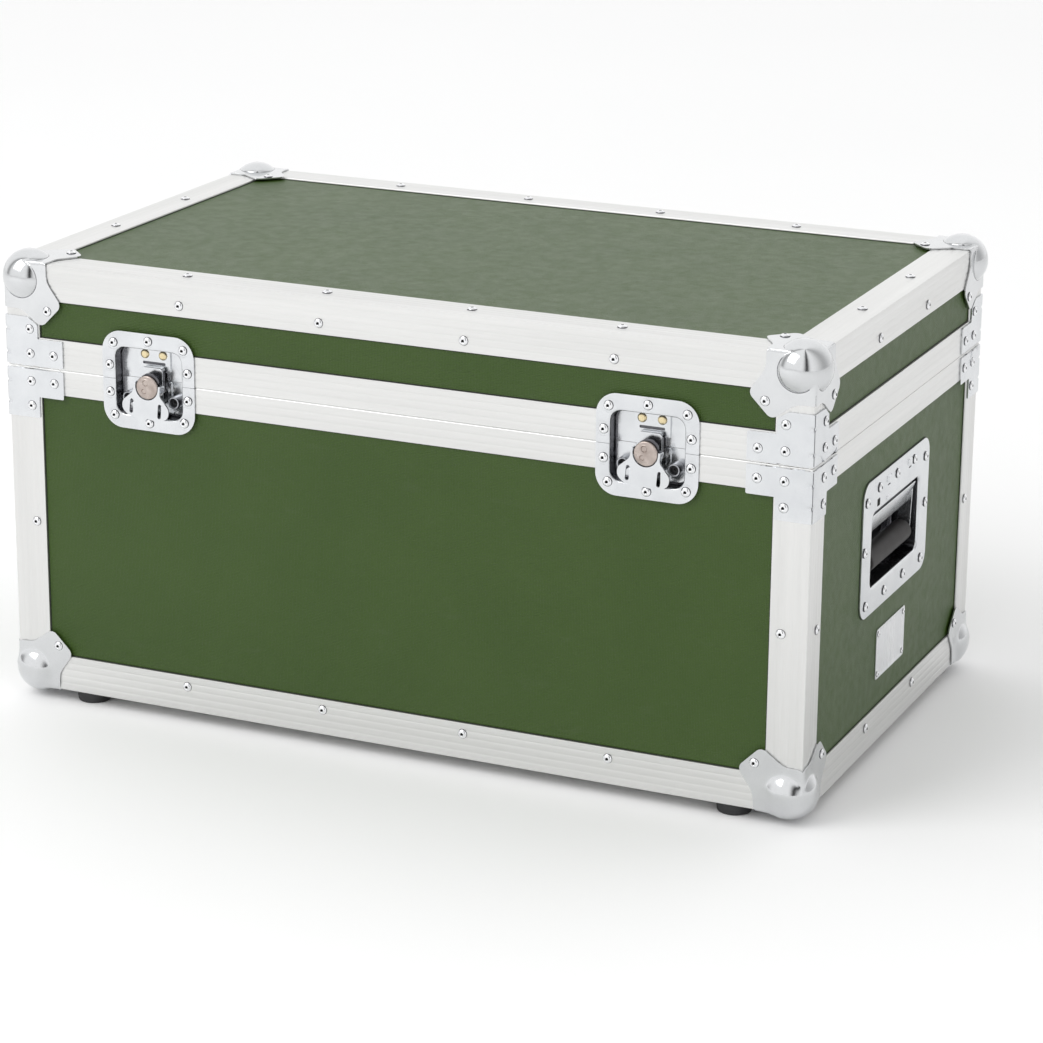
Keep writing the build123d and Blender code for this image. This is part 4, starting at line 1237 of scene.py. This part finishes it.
springs, pins = Shape(), Shape()
for side, side_name in ACROSS.items():
    across = side_at(side, handle_z, panel_in) @ crosswise()
    tray(side, side_name)
    bail(side_name, across)
    handle_spring(springs, across @ shift(*bail_pin))
    pins.lathe(both_ends([(1.2, -70.2), (1.6, -69.8)]), across @ shift(*bail_pin), count=24)
dress("handle_springs", "coiled", springs, [SPRING], "base", "spring_steel")
dress("handle_pins", "turned", pins, [STEEL], "base")


# ---------------------------------------------------------------- nameplate, feet and screws
nameplate_half = (41.0, 24.5)
border = 2.0
border_drop = 0.3


def nameplate():
    """Blank brushed plate with a raised border and raised corners under its rivets."""
    place = side_at(1, middle("nameplate").z, panel_in)
    wide, high = nameplate_half
    outline = divide(rectangle(-wide, wide, -high, high, 3.0), 5.0)

    def height(u, v):
        edge = min(wide - abs(u), high - abs(v))
        corner = max(abs(abs(u) - wide + 5), abs(abs(v) - high + 5))
        return 1.0 - border_drop * smooth((edge - border) / 0.8) * smooth((corner - 3.6) / 0.8)

    insets = [border + k * 0.4 for k in range(-1, 5)] + [7.5, 8.6, 9.0, 9.4, 10.0]
    rows = [side * (high - d) for side in ENDS for d in insets]
    columns = [side * (wide - d) for side in ENDS for d in insets]
    points = grid([k * 2.8 for k in range(-14, 15)], rows) + grid(columns, [k * 2.2 for k in range(-10, 11)])
    points += grid(columns, rows)
    shape = Shape()
    shape.flat(outline, (), points, height, place)
    dress("nameplate", "blank", shape, [BRUSHED], "base", "bright_steel", 0.8, 0.15, True)


nameplate()

foot_profile = [(13.0, 0.2), (14.6, 0.0), (15.4, 0.4), (15.9, 1.4), (16.4, 8.0), (16.6, 11.0), (16.2, 11.9)]
foot_profile += [(6.2, 11.9), (6.2, 1.2), (7.4, 0.3), (9.0, 0.2), (13.0, 0.2)]
screw_profile = [(4.4, 11.9), (4.4, 5.6), (4.9, 5.5), (4.8, 5.2), (3.6, 5.0), (2.4, 5.05), (2.2, 6.2)]
screw_profile += [(0.5, 6.4)]
feet, screws = Shape(), Shape()
for low, high in islands("foot_screws"):
    spot = Matrix.Translation(((low.x + high.x) / 2, (low.y + high.y) / 2, 0))
    feet.lathe(foot_profile, spot, 0, 40, False, False)
    screws.lathe(screw_profile, spot, 0, 28)
dress("feet", "moulded", feet, [FOOT], "base", "rubber")
dress("foot_screws", "turned", screws, [STEEL], "base", "rivet_steel")


# ---------------------------------------------------------------- hinges
hinge_x = 250.0
hinge_half = 38.0
hinge_leaf = 22.0
knuckle_radius = 4.3
knuckle_back = 4.5
knuckles = 5
knuckle_play = 0.2
knuckle_pitch = 2 * hinge_half / knuckles
hinge_z = parting_z + parting_gap / 2


def leaf_outline(up, own):
    """A leaf's outline with the other leaf's knuckles cut out of its edge."""
    clear = knuckle_radius + 2 * knuckle_play
    outline = [(hinge_half, hinge_leaf), (-hinge_half, hinge_leaf)]
    radii = [3.0, 3.0]
    for i in range(knuckles):
        low = (i - knuckles / 2) * knuckle_pitch
        rise = 0.15 if i in own else clear
        outline += [(low, rise), (low + knuckle_pitch, rise)]
        radii += [0, 0]
    loop = rounded(outline, radii)
    apart = [p for i, p in enumerate(loop) if (p - loop[i - 1]).length > 1e-4]
    return [Vector((p.x, up * p.y)) for p in apart[::up]]


def hinge(shape, x, up, own):
    place = plane((x, half_d, hinge_z), (-1, 0, 0), (0, 0, 1))
    shape.prism(leaf_outline(up, own), plate_gap, plate_top, place)
    for i in own:
        centre = (i + 0.5 - knuckles / 2) * knuckle_pitch
        across = place @ crosswise(centre, 0, knuckle_back)
        reach = knuckle_pitch / 2 - knuckle_play
        barrel = [(3.2, -reach), (3.9, -reach), (knuckle_radius, -reach + 0.4)]
        shape.lathe(both_ends(barrel), across, count=36)
        wrap = rectangle(-knuckle_back + plate_gap, -knuckle_back + plate_top, *sorted((0, up * 4.6)))
        shape.prism(wrap, -reach, reach, across)


for half, up, own, body in (("lower", -1, (0, 2, 4), "base"), ("upper", 1, (1, 3), "lid")):
    shape = Shape()
    for x in (-hinge_x, hinge_x):
        hinge(shape, x, up, own)
    dress(f"hinge_{half}_leaves", "rolled", shape, [ZINC], body, bevel=0.3)
shape = Shape()
for x in (-hinge_x, hinge_x):
    across = along((x, half_d + knuckle_back, hinge_z), (0, 1, 0), (0, 0, 1), (1, 0, 0))
    shape.lathe(both_ends([(1.6, -38.5), (2.0, -38.2)]), across, count=24)
dress("hinge_pins", "turned", shape, [STEEL], "base")


# ---------------------------------------------------------------- studio
def floor():
    """Large matt floor, part of the setting only."""
    reach = 80.0
    f = Finish("studio_floor", Roughness=0.85, Metallic=0.0)
    wash = f.noise(0.8, 2.0)
    f.drive("Base Color", f.mix(f.spread(wash, 0.0, 1.0), rgb(0.95, 0.95, 0.95), rgb(0.965, 0.965, 0.965)))
    data = bpy.data.meshes.new("studio_floor")
    corners = [(-reach, -reach, 0), (reach, -reach, 0), (reach, reach, 0), (-reach, reach, 0)]
    data.from_pydata(corners, [], [(0, 1, 2, 3)])
    data.materials.append(f.material)
    link("studio_floor", data)


def lamp(name, place, target, size, power):
    """Soft square light aimed at a point; metres and watts."""
    data = bpy.data.lights.new(name, "AREA")
    data.shape = "RECTANGLE"
    data.size = data.size_y = size
    data.energy = power
    thing = link(name, data)
    thing.location = place
    thing.rotation_euler = (Vector(target) - Vector(place)).to_track_quat("-Z", "Y").to_euler()


world_level = 1.13
# Darker bands in the surroundings: azimuth from straight ahead of the front, width and depth.
BANDS = [
    (math.radians(28), math.radians(10), 0.97),
    (math.radians(-75), math.radians(10), 0.6),
    (math.radians(105), math.radians(34), 0.5),
]


def world():
    """Pale surroundings with soft darker bands for bright metal to show."""
    surroundings = bpy.data.worlds.new("studio")
    bpy.context.scene.world = surroundings
    surroundings.use_nodes = True
    n = Nodes(surroundings.node_tree)
    place = n.add("ShaderNodeTexCoord").outputs["Generated"]
    split = n.add("ShaderNodeSeparateXYZ", {0: place}).outputs
    azimuth = n.math("ARCTAN2", split[0], n.math("MULTIPLY", split[1], -1.0))
    bands = None
    for centre, width, depth in BANDS:
        away = n.math("DIVIDE", n.math("SUBTRACT", azimuth, centre), width)
        fall = n.math("MULTIPLY", n.math("MULTIPLY", away, away), -1.0)
        band = n.math("MULTIPLY", n.math("EXPONENT", fall), depth)
        bands = band if bands is None else n.math("ADD", bands, band)
    back = n.tree.nodes["Background"].inputs
    n.tree.links.new(n.math("MULTIPLY", n.math("SUBTRACT", 1.0, bands), world_level), back["Strength"])
    back["Color"].default_value = rgb(1.0, 1.0, 1.0)


def camera():
    """The photo's camera, from its place, yaw, pitch, roll and lens."""
    yaw, pitch, roll = math.radians(24.11), math.radians(17.55), math.radians(0.46)
    ahead = Vector((-math.sin(yaw) * math.cos(pitch), math.cos(yaw) * math.cos(pitch), -math.sin(pitch)))
    right = Vector((math.cos(yaw), math.sin(yaw), 0))
    up = right.cross(ahead)
    rolled_right = right * math.cos(roll) + up * math.sin(roll)
    rolled_up = up * math.cos(roll) - right * math.sin(roll)
    data = bpy.data.cameras.new("photo_camera")
    data.lens = 118.38
    data.sensor_width = 36.0
    thing = link("photo_camera", data)
    thing.matrix_world = along((1.3144, -2.8874, 1.1652), rolled_right, rolled_up, -ahead)
    bpy.context.scene.camera = thing


floor()
world()
lamp("key", (-2.2, -3.0, 3.6), (0, 0, 0.2), 3.0, 75.0)
camera()
bpy.context.scene.view_settings.view_transform = "Standard"
bpy.context.scene.view_settings.look = "None"
